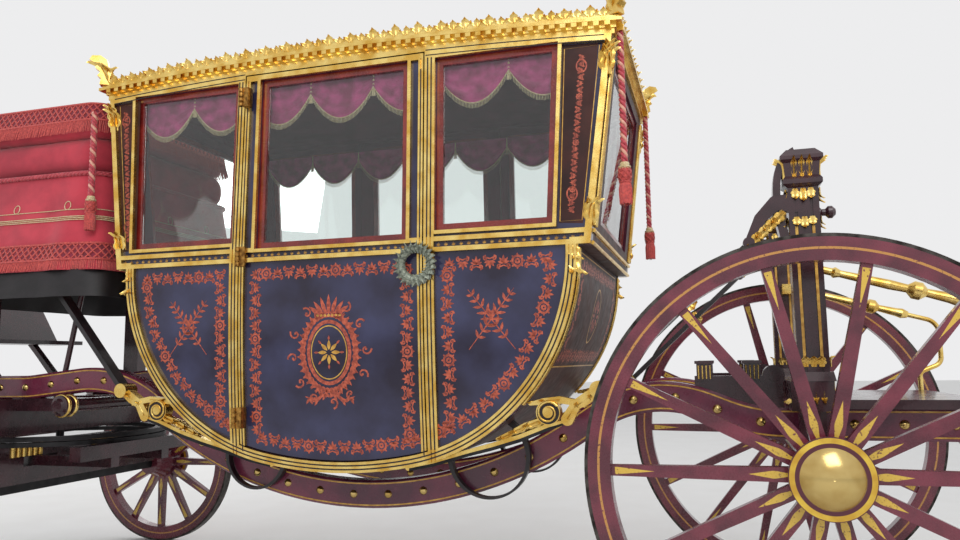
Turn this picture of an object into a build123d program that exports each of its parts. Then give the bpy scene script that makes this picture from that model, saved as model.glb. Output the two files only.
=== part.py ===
"""State coach (berlin) with a panelled cabin slung on leather braces between two
curved perches, a turning fore-carriage, a draped driver's seat and a footman's stand.

Frame: +X towards the horses, +Y to the coach's left, +Z up, ground at Z = 0,
origin midway along the length. Millimetres.
"""

import os
from math import hypot, sqrt

from build123d import *

# Running gear
REAR_AXLE_X = -2000.0
WHEELBASE = 4056.0
FRONT_AXLE_X = REAR_AXLE_X + WHEELBASE
REAR_WHEEL_R = 800.0
FRONT_WHEEL_R = 532.0
REAR_SPOKES = 14
FRONT_SPOKES = 12
TRACK_OUTER = 1893.0           # outer face to outer face of the tyres
FELLOE_WIDTH = 62.0
FELLOE_DEPTH = 80.0
TYRE_T = 12.0
HUB_INNER = 150.0              # nave length inboard of the wheel's middle plane
HUB_OUTER = 75.0
NAVE_R = 105.0
NAVE_END_R = 70.0
HUB_RING_R = 132.0
HUB_RING_T = 22.0
CAP_R = 98.0
CAP_DOME = 40.0
SPOKE_ROOT_W = 50.0
SPOKE_TIP_W = 36.0
SPOKE_T = 36.0
AXLE_ARM_R = 30.0
AXLE_RUN_CLEAR = 0.05
AXLE_SQ = 50.0
WHEEL_Y = TRACK_OUTER / 2 - FELLOE_WIDTH / 2
AXLE_SHOULDER_Y = WHEEL_Y - HUB_INNER - 6.0

# Perches: two side beams that dip under the cabin and rise over the front wheels
PERCH_Y = 350.0
PERCH_W = 80.0
PERCH_H = 125.0
PERCH_CHAMFER = 9.0
PERCH_REAR_X = REAR_AXLE_X - 600.0
PERCH_REAR_Z = 925.0
PERCH_FRONT_X = FRONT_AXLE_X + 120.0
PERCH_FRONT_Z = 1080.0
# corners of the perch line: X from the rear axle, Z, fillet radius
PERCH_CORNERS = (
    (200.0, PERCH_REAR_Z, 600.0),
    (620.0, 1092.0, 500.0),
    (1930.0, 229.0, 1817.0),
    (3315.0, 1142.0, 700.0),
    (3900.0, PERCH_FRONT_Z, 700.0),
)

# Cabin
BODY_X = -60.0
TOP_HALF = 1255.0
TOP_Z = 2520.0
TOP_RISE = 45.0
BELT_HALF = 1145.0
LOW_HALF = 1090.0              # the lower panels stand in under the belt
BELT_Z = 1650.0
BELT_H = 65.0
TURN_HALF = 360.0              # where the keel's arc runs into the corner's arc
TURN_Z = 750.0
KEEL_Z = 715.0
TOP_HALF_W = 640.0
BELT_HALF_W = 668.0
LOW_HALF_W = 652.0
LOW_W_Z = 1150.0
KEEL_HALF_W = 605.0
WALL = 45.0
SEAM = 0.3                     # gap between pieces that meet on a curved face
DOOR_X = BODY_X + 18.0
DOOR_HALF = 447.0
DOOR_GAP = 6.0
DOOR_TOP_Z = 2543.0
EDGE_BAND = 52.0               # reeded moulding round the cabin's lower edge
CORNER_BAND = 28.0
POST_BAND = 46.0
BELT_BAND = 20.0
SASH_BAND = 16.0
MOULD_T = 16.0
REED_GROOVE = 4.0              # width of the grooves that part a moulding into reeds
REED_DEPTH = 7.0
SASH_W = 30.0
SASH_OUT = 12.0                # the sash stands back this far from the panel's face
SASH_T = 24.0
PANE_T = 5.0
# quarter windows' glass: near-door edge, leaning edge at foot, leaning edge at head
QUARTER_GLASS = {"front": (538.0, 1035.0, 1068.0), "rear": (-513.0, -965.0, -1000.0)}
QUARTER_FOOT_Z = 1772.0
QUARTER_HEAD_Z = 2485.0
DOOR_GLASS_HALF = 342.0
DOOR_GLASS_FOOT_Z = 1740.0
DOOR_GLASS_HEAD_Z = 2490.0
END_GLASS_HALF = 430.0
END_GLASS_FOOT_Z = 1790.0
END_GLASS_HEAD_Z = 2440.0
CORNICE_OUT = 45.0
CORNICE_IN = 30.0
CORNICE_H = 70.0
ROOF_RISE = 120.0
HEAD_ROOM = 300.0              # how far an open-headed outline runs on above the roof
CREST_H = 55.0
CREST_T = 12.0
CREST_PITCH = 108.0
CORNER_ORNAMENT_H = 150.0
DENTIL_PITCH = 46.0

# Door hinge line stands outside the mouldings so that nothing binds
HINGE_PIN_Y = BELT_HALF_W + MOULD_T + 10.0
HINGE_PIN_X = DOOR_X + DOOR_HALF + DOOR_GAP / 2
HINGE_PIN_R = 7.0
HINGE_LEAF_H = 90.0
HINGE_ZS = (950.0, 1676.0, 2430.0)
HANDLE_R = 68.0
HANDLE_ROPE_R = 11.0
HANDLE_X = DOOR_X - DOOR_HALF + 24.0
HANDLE_Z = 1600.0

# Slings and standards
LOOP_Y = 585.0
BRACE_W = 60.0
BRACE_T = 22.0
LOOP_END_X = 1149.0            # from the cabin's middle
LOOP_END_Z = 1070.0
LOOP_T = 40.0
LOOP_EYE_R = 34.0
STANDARD_Y = 560.0
STANDARD_X = REAR_AXLE_X - 10.0
STANDARD_W = 110.0
STANDARD_D = 90.0
STANDARD_TOP_Z = 1830.0
STANDARD_BASE_H = 34.0
FLUTE_W = 10.0
FLUTE_DEPTH = 6.0
FINIAL_Z = 1735.0
FINIAL_R = 24.0
BRACE_ARM_Z = 1785.0           # the gilded arm's root on the rear standard
FRONT_STANDARD_X = FRONT_AXLE_X - 30.0
FRONT_STANDARD_TOP_Z = 1800.0

# Beams over the axles
REAR_BOLSTER_H = 110.0
BOLSTER_W = 150.0
BEAM_HALF_Y = 620.0
TRANSOM_X = 150.0
TRANSOM_TOP_Z = PERCH_FRONT_Z - PERCH_H / 2
PLATE_T = 22.0
PLATE_R = 580.0
PLATE_W = 60.0
PLATE_GAP = 6.0
BED_TOP_Z = 775.0
LOWER_BEAM_H = 90.0
UPPER_BEAM_H = 75.0
KINGPIN_R = 22.0
FUTCHELL_Y = 200.0
FUTCHELL_W = 60.0
SPLINTER_D = 80.0              # the splinter bar's depth along the coach
SPLINTER_AHEAD = 164.0         # the splinter bar's front face ahead of the wheel plate
FRONT_END_X = FRONT_AXLE_X + PLATE_R + SPLINTER_AHEAD
SPLINTER_HALF = 790.0
POLE_R = 45.0
POLE_DEPTH = 300.0

# Driver's seat and its draped cloth
SEAT_X = FRONT_AXLE_X - 286.0
SEAT_STAY_X = SEAT_X - 210.0
SEAT_BEAM_HALF = 596.0
SEAT_HALF_X = 450.0
SEAT_HALF_Y = 560.0
CLOTH_WAIST_Z = 2180.0
CLOTH_FOOT_Z = 1665.0
UNDER_FOOT_Z = 1530.0
CLOTH_T = 22.0
UNDER_CLOTH_T = 12.0
# draped cloth: Z, half length, half width, corner radius, distance ahead of the seat's middle
SKIRT = (
    (CLOTH_WAIST_Z, SEAT_HALF_X, SEAT_HALF_Y, 130.0, 0.0),
    (1920.0, SEAT_HALF_X + 40.0, SEAT_HALF_Y + 40.0, 140.0, 10.0),
    (CLOTH_FOOT_Z, SEAT_HALF_X + 110.0, SEAT_HALF_Y + 110.0, 150.0, 20.0),
)
UNDER_CLOTH = (
    (1700.0, SEAT_HALF_X + 88.0, SEAT_HALF_Y + 88.0, 140.0, 19.0),
    (UNDER_FOOT_Z, SEAT_HALF_X + 138.0, SEAT_HALF_Y + 138.0, 150.0, 26.0),
)
ROLL_H = 212.0                 # the stuffed roll round the seat
ROLL_PUFF = 16.0
ROLL_CORNER_R = 140.0
CUSHION_H = 205.0
CUSHION_LEAN = 9.0
FOOTBOARD_X = FRONT_AXLE_X + 480.0
FOOTBOARD_Z = 1330.0

# Silk ropes with tassels, straight under their own weight
REAR_ROPE_X = BODY_X - 1283.0
REAR_ROPE_Y = 600.0
REAR_ROPE_TOP_Z = 2542.0
REAR_ROPE_R = 15.0
ROPE_BLOCK = (36.0, 44.0)
BOX_ROPE_X = 1319.0
BOX_ROPE_Y = 620.0
BOX_ROPE_TOP_Z = 2478.0
BOX_ROPE_R = 16.0
HOOK_R = 14.0
HOOK_LIP = 3.0
# each rope: X, Y, top, foot, radius
ROPES = {
    "rope_rear_left": (REAR_ROPE_X, REAR_ROPE_Y, REAR_ROPE_TOP_Z, 1987.0, REAR_ROPE_R),
    "rope_rear_right": (REAR_ROPE_X, -REAR_ROPE_Y, REAR_ROPE_TOP_Z, 1911.0, REAR_ROPE_R),
    "rope_box_left": (BOX_ROPE_X, BOX_ROPE_Y, BOX_ROPE_TOP_Z, 2042.0, BOX_ROPE_R),
    "rope_box_right": (BOX_ROPE_X, -BOX_ROPE_Y, BOX_ROPE_TOP_Z, 2042.0, BOX_ROPE_R),
}
TASSEL_L = 178.0
TASSEL_R = 28.0
# a tassel's turned outline: share of the length from its top, share of the radius
TASSEL_TURNING = ((0.0, 0.62), (0.06, 0.74), (0.12, 0.60), (0.18, 0.92), (0.30, 1.0), (0.44, 0.86), (0.50, 0.80),
                  (0.56, 0.92), (0.80, 0.98), (1.0, 0.96))

os.makedirs("parts", exist_ok=True)


def save(builder, name):
    """Label a finished piece and write it."""
    builder.part.label = name
    export_step(builder.part, f"parts/{name}.step")


def roof_line(along):
    """Height of the cabin's arched top line at a distance from its middle."""
    radius = (TOP_HALF**2 + TOP_RISE**2) / (2 * TOP_RISE)
    return TOP_Z + TOP_RISE - radius + sqrt(radius**2 - along**2)


def roof_arc(lift=0.0, half=TOP_HALF):
    """Two ends and the middle of the cabin's arched top line, raised by a lift."""
    return (
        (BODY_X - half, roof_line(half) + lift),
        (BODY_X, TOP_Z + TOP_RISE + lift),
        (BODY_X + half, roof_line(half) + lift),
    )


def elevation(inset=0.0, open_head=False):
    """The cabin's side outline on the XZ plane; an open head runs on above the roof.

    A keel arc and two corner arcs rise to the belt, which overhangs them; the ends then lean out.
    """
    sag = TURN_Z - KEEL_Z
    keel_r = (TURN_HALF**2 + sag**2) / (2 * sag)
    lean = (TOP_HALF - BELT_HALF) / (TOP_Z - BELT_Z)
    step = inset * sqrt(1 + lean**2)
    turn_half = TURN_HALF * (1 - inset / keel_r)
    turn_z = TURN_Z + inset * (1 - sag / keel_r)
    belt_half = BELT_HALF - step
    head_half = TOP_HALF - step + (lean * HEAD_ROOM if open_head else 0.0)
    with BuildSketch(Plane.XZ) as outline:
        with BuildLine():
            keel = ThreePointArc(
                (BODY_X - turn_half, turn_z), (BODY_X, KEEL_Z + inset), (BODY_X + turn_half, turn_z)
            )
            ledge_z = BELT_Z + inset
            TangentArc(keel @ 1, (BODY_X + LOW_HALF - inset, ledge_z), tangent=keel % 1)
            TangentArc(keel @ 0, (BODY_X - LOW_HALF + inset, ledge_z), tangent=(keel % 0) * -1)
            left, mid, right = roof_arc(-inset, head_half)
            if open_head:
                left, right = (left[0], TOP_Z + HEAD_ROOM), (right[0], TOP_Z + HEAD_ROOM)
                Line(left, right)
            else:
                ThreePointArc(left, mid, right)
            for way, head in ((1, right), (-1, left)):
                low = (BODY_X + way * (LOW_HALF - inset), ledge_z)
                Polyline(low, (BODY_X + way * (belt_half + lean * inset), ledge_z), head)
        make_face()
    return outline.sketch


def section(inset=0.0):
    """The cabin's cross-section on the YZ plane, widest at the belt."""
    lean = (BELT_HALF_W - TOP_HALF_W) / (TOP_Z - BELT_Z)
    head_z = TOP_Z + HEAD_ROOM
    head_w = TOP_HALF_W - lean * HEAD_ROOM - inset
    with BuildSketch(Plane.YZ) as outline:
        with BuildLine():
            for side in (1, -1):
                Line((side * head_w, head_z), (side * (BELT_HALF_W - inset), BELT_Z))
                ThreePointArc(
                    (side * (BELT_HALF_W - inset), BELT_Z),
                    (side * (LOW_HALF_W - inset), LOW_W_Z),
                    (side * (KEEL_HALF_W - inset), KEEL_Z - 60.0),
                )
            Line((head_w, head_z), (-head_w, head_z))
            Line((KEEL_HALF_W - inset, KEEL_Z - 60.0), (-(KEEL_HALF_W - inset), KEEL_Z - 60.0))
        make_face()
    return outline.sketch


def long_prism(inset):
    """The cross-section run the whole length of the coach."""
    return extrude(section(inset), amount=1600.0, both=True, mode=Mode.PRIVATE)


def side_layer(outer, inner):
    """The left wall's material between two depths, cut to the cabin's side outline."""
    with BuildPart() as layer:
        extrude(elevation(), amount=800.0, both=True)
        add(long_prism(outer), mode=Mode.INTERSECT)
        add(long_prism(inner), mode=Mode.SUBTRACT)
        with Locations((BODY_X, -500.0, TOP_Z)):
            Box(4000.0, 1000.0, 5000.0, mode=Mode.SUBTRACT)
    return layer.part


def rect(x0, z0, x1, z1):
    """A rectangle given by two corners, added to the current sketch."""
    with Locations(((x0 + x1) / 2, (z0 + z1) / 2)):
        Rectangle(abs(x1 - x0), abs(z1 - z0))


def door_outline(grow=0.0):
    """The door's outline: straight posts and head, its foot following the cabin's keel."""
    with BuildSketch(Plane.XZ) as outline:
        add(elevation(EDGE_BAND - grow, open_head=True))
        with BuildSketch(mode=Mode.INTERSECT):
            rect(DOOR_X - DOOR_HALF - grow, 0.0, DOOR_X + DOOR_HALF + grow, DOOR_TOP_Z + grow)
    return outline.sketch


def quarter_glass(which, grow=0.0):
    """A quarter window's glass on the XZ plane, its outer edge leaning with the corner."""
    near, foot, head = (BODY_X + from_middle for from_middle in QUARTER_GLASS[which])
    with BuildSketch(Plane.XZ) as outline:
        with BuildLine():
            Polyline(
                (near, QUARTER_FOOT_Z),
                (foot, QUARTER_FOOT_Z),
                (head, QUARTER_HEAD_Z),
                (near, QUARTER_HEAD_Z),
                close=True,
            )
        make_face()
        if grow:
            offset(amount=grow, kind=Kind.INTERSECTION)
    return outline.sketch


def door_glass(grow=0.0):
    """The door window's glass on the XZ plane."""
    with BuildSketch(Plane.XZ) as outline:
        rect(
            DOOR_X - DOOR_GLASS_HALF - grow,
            DOOR_GLASS_FOOT_Z - grow,
            DOOR_X + DOOR_GLASS_HALF + grow,
            DOOR_GLASS_HEAD_Z + grow,
        )
    return outline.sketch


def end_glass(grow=0.0):
    """The front and rear windows' glass on the YZ plane."""
    with BuildSketch(Plane.YZ) as outline:
        rect(-END_GLASS_HALF - grow, END_GLASS_FOOT_Z - grow, END_GLASS_HALF + grow, END_GLASS_HEAD_Z + grow)
    return outline.sketch


def through(sketch):
    """A sketch on the side elevation run right across the coach."""
    return extrude(sketch, amount=900.0, both=True, mode=Mode.PRIVATE)


def along(sketch):
    """A sketch on the cross-section run right along the coach."""
    return extrude(sketch, amount=1600.0, both=True, mode=Mode.PRIVATE)


# Wheels
def tapered_spoke(root_r, tip_r):
    """One spoke's outline in the wheel's plane, from the nave to the felloe."""
    Polygon(
        (root_r, -SPOKE_ROOT_W / 2),
        (tip_r, -SPOKE_TIP_W / 2),
        (tip_r, SPOKE_TIP_W / 2),
        (root_r, SPOKE_ROOT_W / 2),
        align=None,
    )


def wheel_frame(axle_x, radius, side):
    """The wheel's middle plane, its normal pointing outboard."""
    return Plane(origin=(axle_x, side * WHEEL_Y, radius), x_dir=(1, 0, 0), z_dir=(0, side, 0))


def make_wheel(tag, axle_x, radius, spokes, side):
    """Nave, spokes and felloes; the iron tyre; the brass cap with its ring."""
    plane = wheel_frame(axle_x, radius, side)
    felloe_r = radius - TYRE_T
    felloe_in = felloe_r - FELLOE_DEPTH
    turned = Plane(origin=plane.origin, x_dir=plane.x_dir, z_dir=(0, 0, side))
    with BuildPart() as wood:
        with BuildSketch(plane):
            Circle(felloe_r)
            Circle(felloe_in, mode=Mode.SUBTRACT)
        extrude(amount=FELLOE_WIDTH / 2, both=True)
        with BuildSketch(plane):
            with PolarLocations(0, spokes):
                tapered_spoke(NAVE_R - 15.0, felloe_in + 4.0)
        extrude(amount=SPOKE_T / 2, both=True)
        with BuildSketch(turned):
            with BuildLine():
                Polyline(
                    (0, -HUB_INNER),
                    (NAVE_END_R, -HUB_INNER),
                    (NAVE_END_R + 6, -HUB_INNER + 30),
                    (NAVE_R, -40),
                    (NAVE_R, 40),
                    (NAVE_R - 12, HUB_OUTER),
                    (0, HUB_OUTER),
                    close=True,
                )
            make_face()
        revolve(axis=Axis(plane.origin, plane.z_dir))
        with BuildSketch(plane.offset(-HUB_INNER)):
            Circle(AXLE_ARM_R + AXLE_RUN_CLEAR)
        extrude(amount=HUB_INNER + HUB_OUTER, mode=Mode.SUBTRACT)
    save(wood, f"wheel_{tag}")

    with BuildPart() as tyre:
        with BuildSketch(plane):
            Circle(radius)
            Circle(felloe_r, mode=Mode.SUBTRACT)
        extrude(amount=FELLOE_WIDTH / 2 - 1.0, both=True)
    save(tyre, f"tyre_{tag}")

    with BuildPart() as cap:
        with BuildSketch(turned):
            with BuildLine():
                Polyline(
                    (0, HUB_OUTER + HUB_RING_T + CAP_DOME),
                    (0, HUB_OUTER),
                    (HUB_RING_R, HUB_OUTER),
                    (HUB_RING_R, HUB_OUTER + HUB_RING_T),
                    (CAP_R, HUB_OUTER + HUB_RING_T),
                )
                TangentArc(
                    (0, HUB_OUTER + HUB_RING_T + CAP_DOME),
                    (CAP_R, HUB_OUTER + HUB_RING_T),
                    tangent=(1, 0),
                )
            make_face()
        revolve(axis=Axis(plane.origin, plane.z_dir))
    save(cap, f"hub_cap_{tag}")


WHEELS = (
    ("rear_left", REAR_AXLE_X, REAR_WHEEL_R, REAR_SPOKES, 1),
    ("rear_right", REAR_AXLE_X, REAR_WHEEL_R, REAR_SPOKES, -1),
    ("front_left", FRONT_AXLE_X, FRONT_WHEEL_R, FRONT_SPOKES, 1),
    ("front_right", FRONT_AXLE_X, FRONT_WHEEL_R, FRONT_SPOKES, -1),
)
for wheel_row in WHEELS:
    make_wheel(*wheel_row)


# Axles
def make_axle(name, axle_x, axle_z):
    """A square iron axle with a round arm in each wheel's nave."""
    with BuildPart() as axle:
        with Locations((axle_x, 0, axle_z)):
            Box(AXLE_SQ, 2 * AXLE_SHOULDER_Y, AXLE_SQ)
        for side in (1, -1):
            with BuildSketch(Plane(origin=(axle_x, side * AXLE_SHOULDER_Y, axle_z), x_dir=(1, 0, 0), z_dir=(0, side, 0))):
                Circle(AXLE_ARM_R)
            extrude(amount=WHEEL_Y + HUB_OUTER - 5.0 - AXLE_SHOULDER_Y)
    save(axle, name)


make_axle("rear_axle", REAR_AXLE_X, REAR_WHEEL_R)
make_axle("front_axle", FRONT_AXLE_X, FRONT_WHEEL_R)


def blade(points):
    """A tapering bar through circles of given centres and radii, added to the current sketch."""
    for x, z, radius in points:
        with Locations((x, z)):
            Circle(radius)
    for (x0, z0, r0), (x1, z1, r1) in zip(points, points[1:]):
        run = Vector(x1 - x0, z1 - z0)
        sine = (r0 - r1) / run.length
        cosine = sqrt(1 - sine**2)
        ahead = run.normalized()
        corners = []
        for way in (1, -1):
            normal = ahead * sine + Vector(-ahead.Y, ahead.X) * (way * cosine)
            corners.append((x0 + normal.X * r0, z0 + normal.Y * r0))
            corners.append((x1 + normal.X * r1, z1 + normal.Y * r1))
        Polygon(corners[0], corners[1], corners[3], corners[2], align=None)


# Perches
def perch_solid(side, grow=0.0):
    """One perch, a rectangular beam swept along its line of straights and arcs."""
    points = [(PERCH_REAR_X, PERCH_REAR_Z)]
    points += [(REAR_AXLE_X + x, z) for x, z, _ in PERCH_CORNERS]
    points += [(PERCH_FRONT_X, PERCH_FRONT_Z)]
    radii = [r for _, _, r in PERCH_CORNERS]
    with BuildPart() as beam:
        with BuildLine(Plane.XZ.offset(-side * PERCH_Y)) as line:
            FilletPolyline(*points, radius=radii)
        start = Plane(origin=(PERCH_REAR_X, side * PERCH_Y, PERCH_REAR_Z), x_dir=(0, 1, 0), z_dir=(1, 0, 0))
        with BuildSketch(start):
            Rectangle(PERCH_W + 2 * grow, PERCH_H + 2 * grow)
            chamfer(vertices(), PERCH_CHAMFER)
        sweep(path=line.wires()[0])
    return beam.part


with BuildPart() as perches:
    for side in (1, -1):
        add(perch_solid(side))
        with Locations((PERCH_REAR_X, side * PERCH_Y, PERCH_REAR_Z - 20.0)):
            Cylinder(PERCH_H / 2 + 18.0, PERCH_W, rotation=(90, 0, 0))
            Cylinder(PERCH_H / 2 - 12.0, PERCH_W + 16.0, rotation=(90, 0, 0))
            Cylinder(PERCH_H / 4 - 6.0, PERCH_W + 34.0, rotation=(90, 0, 0))
save(perches, "perches")

REAR_BRACE_TOP = (STANDARD_X + STANDARD_W / 2 + 150.0, 1625.0)
FRONT_BRACE_TOP = (FRONT_STANDARD_X - STANDARD_W / 2 - 321.0, 1730.0)
ARM_EYE_R = 22.0

# Rear carriage: axle bed, bolster over the perches, platform and standards
REAR_BED_Z = REAR_WHEEL_R + AXLE_SQ / 2
PERCH_REAR_TOP_Z = PERCH_REAR_Z + PERCH_H / 2
BOLSTER_TOP_Z = PERCH_REAR_TOP_Z + REAR_BOLSTER_H
with BuildPart() as rear_axle_bed:
    with BuildSketch(Plane.XY.offset(REAR_BED_Z)):
        with Locations((REAR_AXLE_X, 0)):
            Rectangle(120, 2 * AXLE_SHOULDER_Y - 40)
    extrude(amount=PERCH_REAR_Z - PERCH_H / 2 - REAR_BED_Z)
    with BuildSketch(Plane.XY.offset(PERCH_REAR_TOP_Z)):
        with Locations((REAR_AXLE_X, 0)):
            Rectangle(BOLSTER_W, 2 * BEAM_HALF_Y)
    extrude(amount=REAR_BOLSTER_H)
    for side in (1, 0, -1):
        with Locations((REAR_AXLE_X, side * 540, (PERCH_REAR_TOP_Z + PERCH_REAR_Z - PERCH_H / 2) / 2)):
            Box(90, 90, PERCH_H)
save(rear_axle_bed, "rear_axle_bed")

PLATFORM_T = 36.0
with BuildPart() as footman_platform:
    with BuildSketch(Plane.XY.offset(PERCH_REAR_TOP_Z)):
        with Locations(((REAR_AXLE_X - 75.0 + PERCH_REAR_X - 20.0) / 2, 0)):
            Rectangle(REAR_AXLE_X - 75.0 - PERCH_REAR_X + 20.0, 2 * 480.0)
        fillet(vertices().sort_by(Axis.X)[:2], 60.0)
    extrude(amount=PLATFORM_T)
save(footman_platform, "footman_platform")

# turned and carved outline of a standard's head: height above the shaft, extra half-size
STANDARD_HEAD = ((0.0, 0.0), (14.0, 16.0), (30.0, 16.0), (44.0, 6.0), (96.0, 10.0), (108.0, 22.0), (122.0, 22.0),
                 (150.0, -4.0))
# turned profile of the knob behind the head: distance behind the shaft, share of its radius
FINIAL_TURNING = ((-10.0, 0.8), (6.0, 0.8), (12.0, 0.55), (24.0, 0.55), (34.0, 1.0), (48.0, 1.0), (60.0, 0.5),
                  (62.0, 0.0))
# the carved leaf before the head: distance ahead of the shaft's face, Z
LEAF_BACK = ((-20.0, 1560.0), (12.0, 1700.0), (22.0, 1850.0), (2.0, 1925.0), (-34.0, 1978.0))
LEAF_FRONT = ((20.0, 1575.0), (44.0, 1700.0), (50.0, 1850.0), (26.0, 1940.0), (-30.0, 1992.0))
# the gilded arm that takes a brace's end: distance ahead of the shaft's face, height over the root, radius
ARM = ((-24.0, -14.0, 36.0), (44.0, -8.0, 28.0), (104.0, -66.0, 22.0))
ARM_T = 40.0


with BuildPart() as rear_standards:
    for side in (1, -1):
        y = side * STANDARD_Y
        face_x = STANDARD_X + STANDARD_W / 2
        with BuildSketch(Plane.XY.offset(BOLSTER_TOP_Z)):
            with Locations((STANDARD_X, y)):
                Rectangle(STANDARD_W, STANDARD_D)
                with GridLocations(STANDARD_W / 2, STANDARD_D, 2, 2):
                    Rectangle(FLUTE_W, 2 * FLUTE_DEPTH, mode=Mode.SUBTRACT)
        extrude(amount=STANDARD_TOP_Z - BOLSTER_TOP_Z)
        with BuildSketch(Plane.XY.offset(BOLSTER_TOP_Z)):
            with Locations((STANDARD_X, y)):
                Rectangle(STANDARD_W + 36.0, STANDARD_D + 36.0)
        extrude(amount=STANDARD_BASE_H, taper=12)
        for (low, low_out), (high, high_out) in zip(STANDARD_HEAD, STANDARD_HEAD[1:]):
            with BuildSketch(Plane.XY.offset(STANDARD_TOP_Z + low)):
                with Locations((STANDARD_X, y)):
                    Rectangle(STANDARD_W + 2 * low_out, STANDARD_D + 2 * low_out)
            with BuildSketch(Plane.XY.offset(STANDARD_TOP_Z + high)):
                with Locations((STANDARD_X, y)):
                    Rectangle(STANDARD_W + 2 * high_out, STANDARD_D + 2 * high_out)
            loft()
        with BuildSketch(Plane.XZ.offset(-y)):
            with BuildLine():
                back = Spline(*[(face_x + ahead, z) for ahead, z in LEAF_BACK])
                front = Spline(*[(face_x + ahead, z) for ahead, z in LEAF_FRONT])
                Line(back @ 0, front @ 0)
                Line(back @ 1, front @ 1)
            make_face()
        extrude(amount=34, both=True)
        with BuildSketch(Plane.XZ.offset(-side * LOOP_Y)):
            blade([(face_x + ahead, BRACE_ARM_Z + up, radius) for ahead, up, radius in ARM]
                  + [(*REAR_BRACE_TOP, ARM_EYE_R - 6.0)])
        extrude(amount=ARM_T / 2, both=True)
        with Locations((REAR_BRACE_TOP[0], side * LOOP_Y, REAR_BRACE_TOP[1])):
            Cylinder(ARM_EYE_R, BRACE_W + 12.0, rotation=(90, 0, 0))
        rear_x = STANDARD_X - STANDARD_W / 2
        with BuildSketch(Plane.XZ.offset(-y)):
            knob = [(rear_x - behind, FINIAL_Z + share * FINIAL_R) for behind, share in FINIAL_TURNING]
            Polygon((rear_x + 10.0, FINIAL_Z), *knob, align=None)
        revolve(axis=Axis((rear_x, y, FINIAL_Z), (1, 0, 0)))
save(rear_standards, "rear_standards")

RAIL_Y = 460.0
RAIL_TOP = (REAR_AXLE_X - 60.0, 1530.0)
RAIL_END = (REAR_AXLE_X - 560.0, 1385.0)
RAIL_FOOT_Z = PERCH_REAR_TOP_Z + PLATFORM_T + SEAM
# turned profile of the rail: share of the length, radius
RAIL_TURNING = ((0.0, 15), (0.1, 15), (0.12, 22), (0.16, 14), (0.5, 19), (0.62, 16), (0.66, 34),
                (0.71, 34), (0.75, 16), (0.9, 20), (0.95, 24), (1.0, 16))


def rail_profile(length):
    """Half the turned rail's outline, the axis along local Y."""
    Polygon(*[(r, share * length) for share, r in RAIL_TURNING], (0, length), (0, 0), align=None)


with BuildPart() as rear_rails:
    rail_length = hypot(RAIL_END[0] - RAIL_TOP[0], RAIL_END[1] - RAIL_TOP[1])
    fall = (RAIL_END[1] - RAIL_TOP[1]) / rail_length
    back = (RAIL_END[0] - RAIL_TOP[0]) / rail_length
    for side in (1, -1):
        origin = Vector(RAIL_TOP[0], side * RAIL_Y, RAIL_TOP[1])
        along_rail = Vector(back, 0, fall)
        with BuildSketch(Plane(origin=origin, x_dir=(0, 1, 0), z_dir=Vector(0, 1, 0).cross(along_rail))):
            rail_profile(rail_length)
        revolve(axis=Axis(origin, along_rail))
        with Locations((STANDARD_X - 20.0, side * (RAIL_Y - 20 + STANDARD_Y - STANDARD_D / 2) / 2, RAIL_TOP[1])):
            Box(60, STANDARD_Y - STANDARD_D / 2 - RAIL_Y + 20, 50)
        with BuildLine(Plane.XZ.offset(-side * RAIL_Y)) as iron:
            FilletPolyline(
                RAIL_END,
                (RAIL_END[0] - 130.0, RAIL_END[1] - 38.0),
                (RAIL_END[0] - 130.0, 1150.0),
                (RAIL_END[0] - 35.0, 1110.0),
                (RAIL_END[0] - 35.0, RAIL_FOOT_Z),
                radius=[70, 45, 30],
            )
        with BuildSketch(Plane(origin=origin + along_rail * rail_length, x_dir=(0, 1, 0), z_dir=along_rail)):
            Circle(11)
        sweep(path=iron.wires()[0])
save(rear_rails, "rear_rails")

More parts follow.
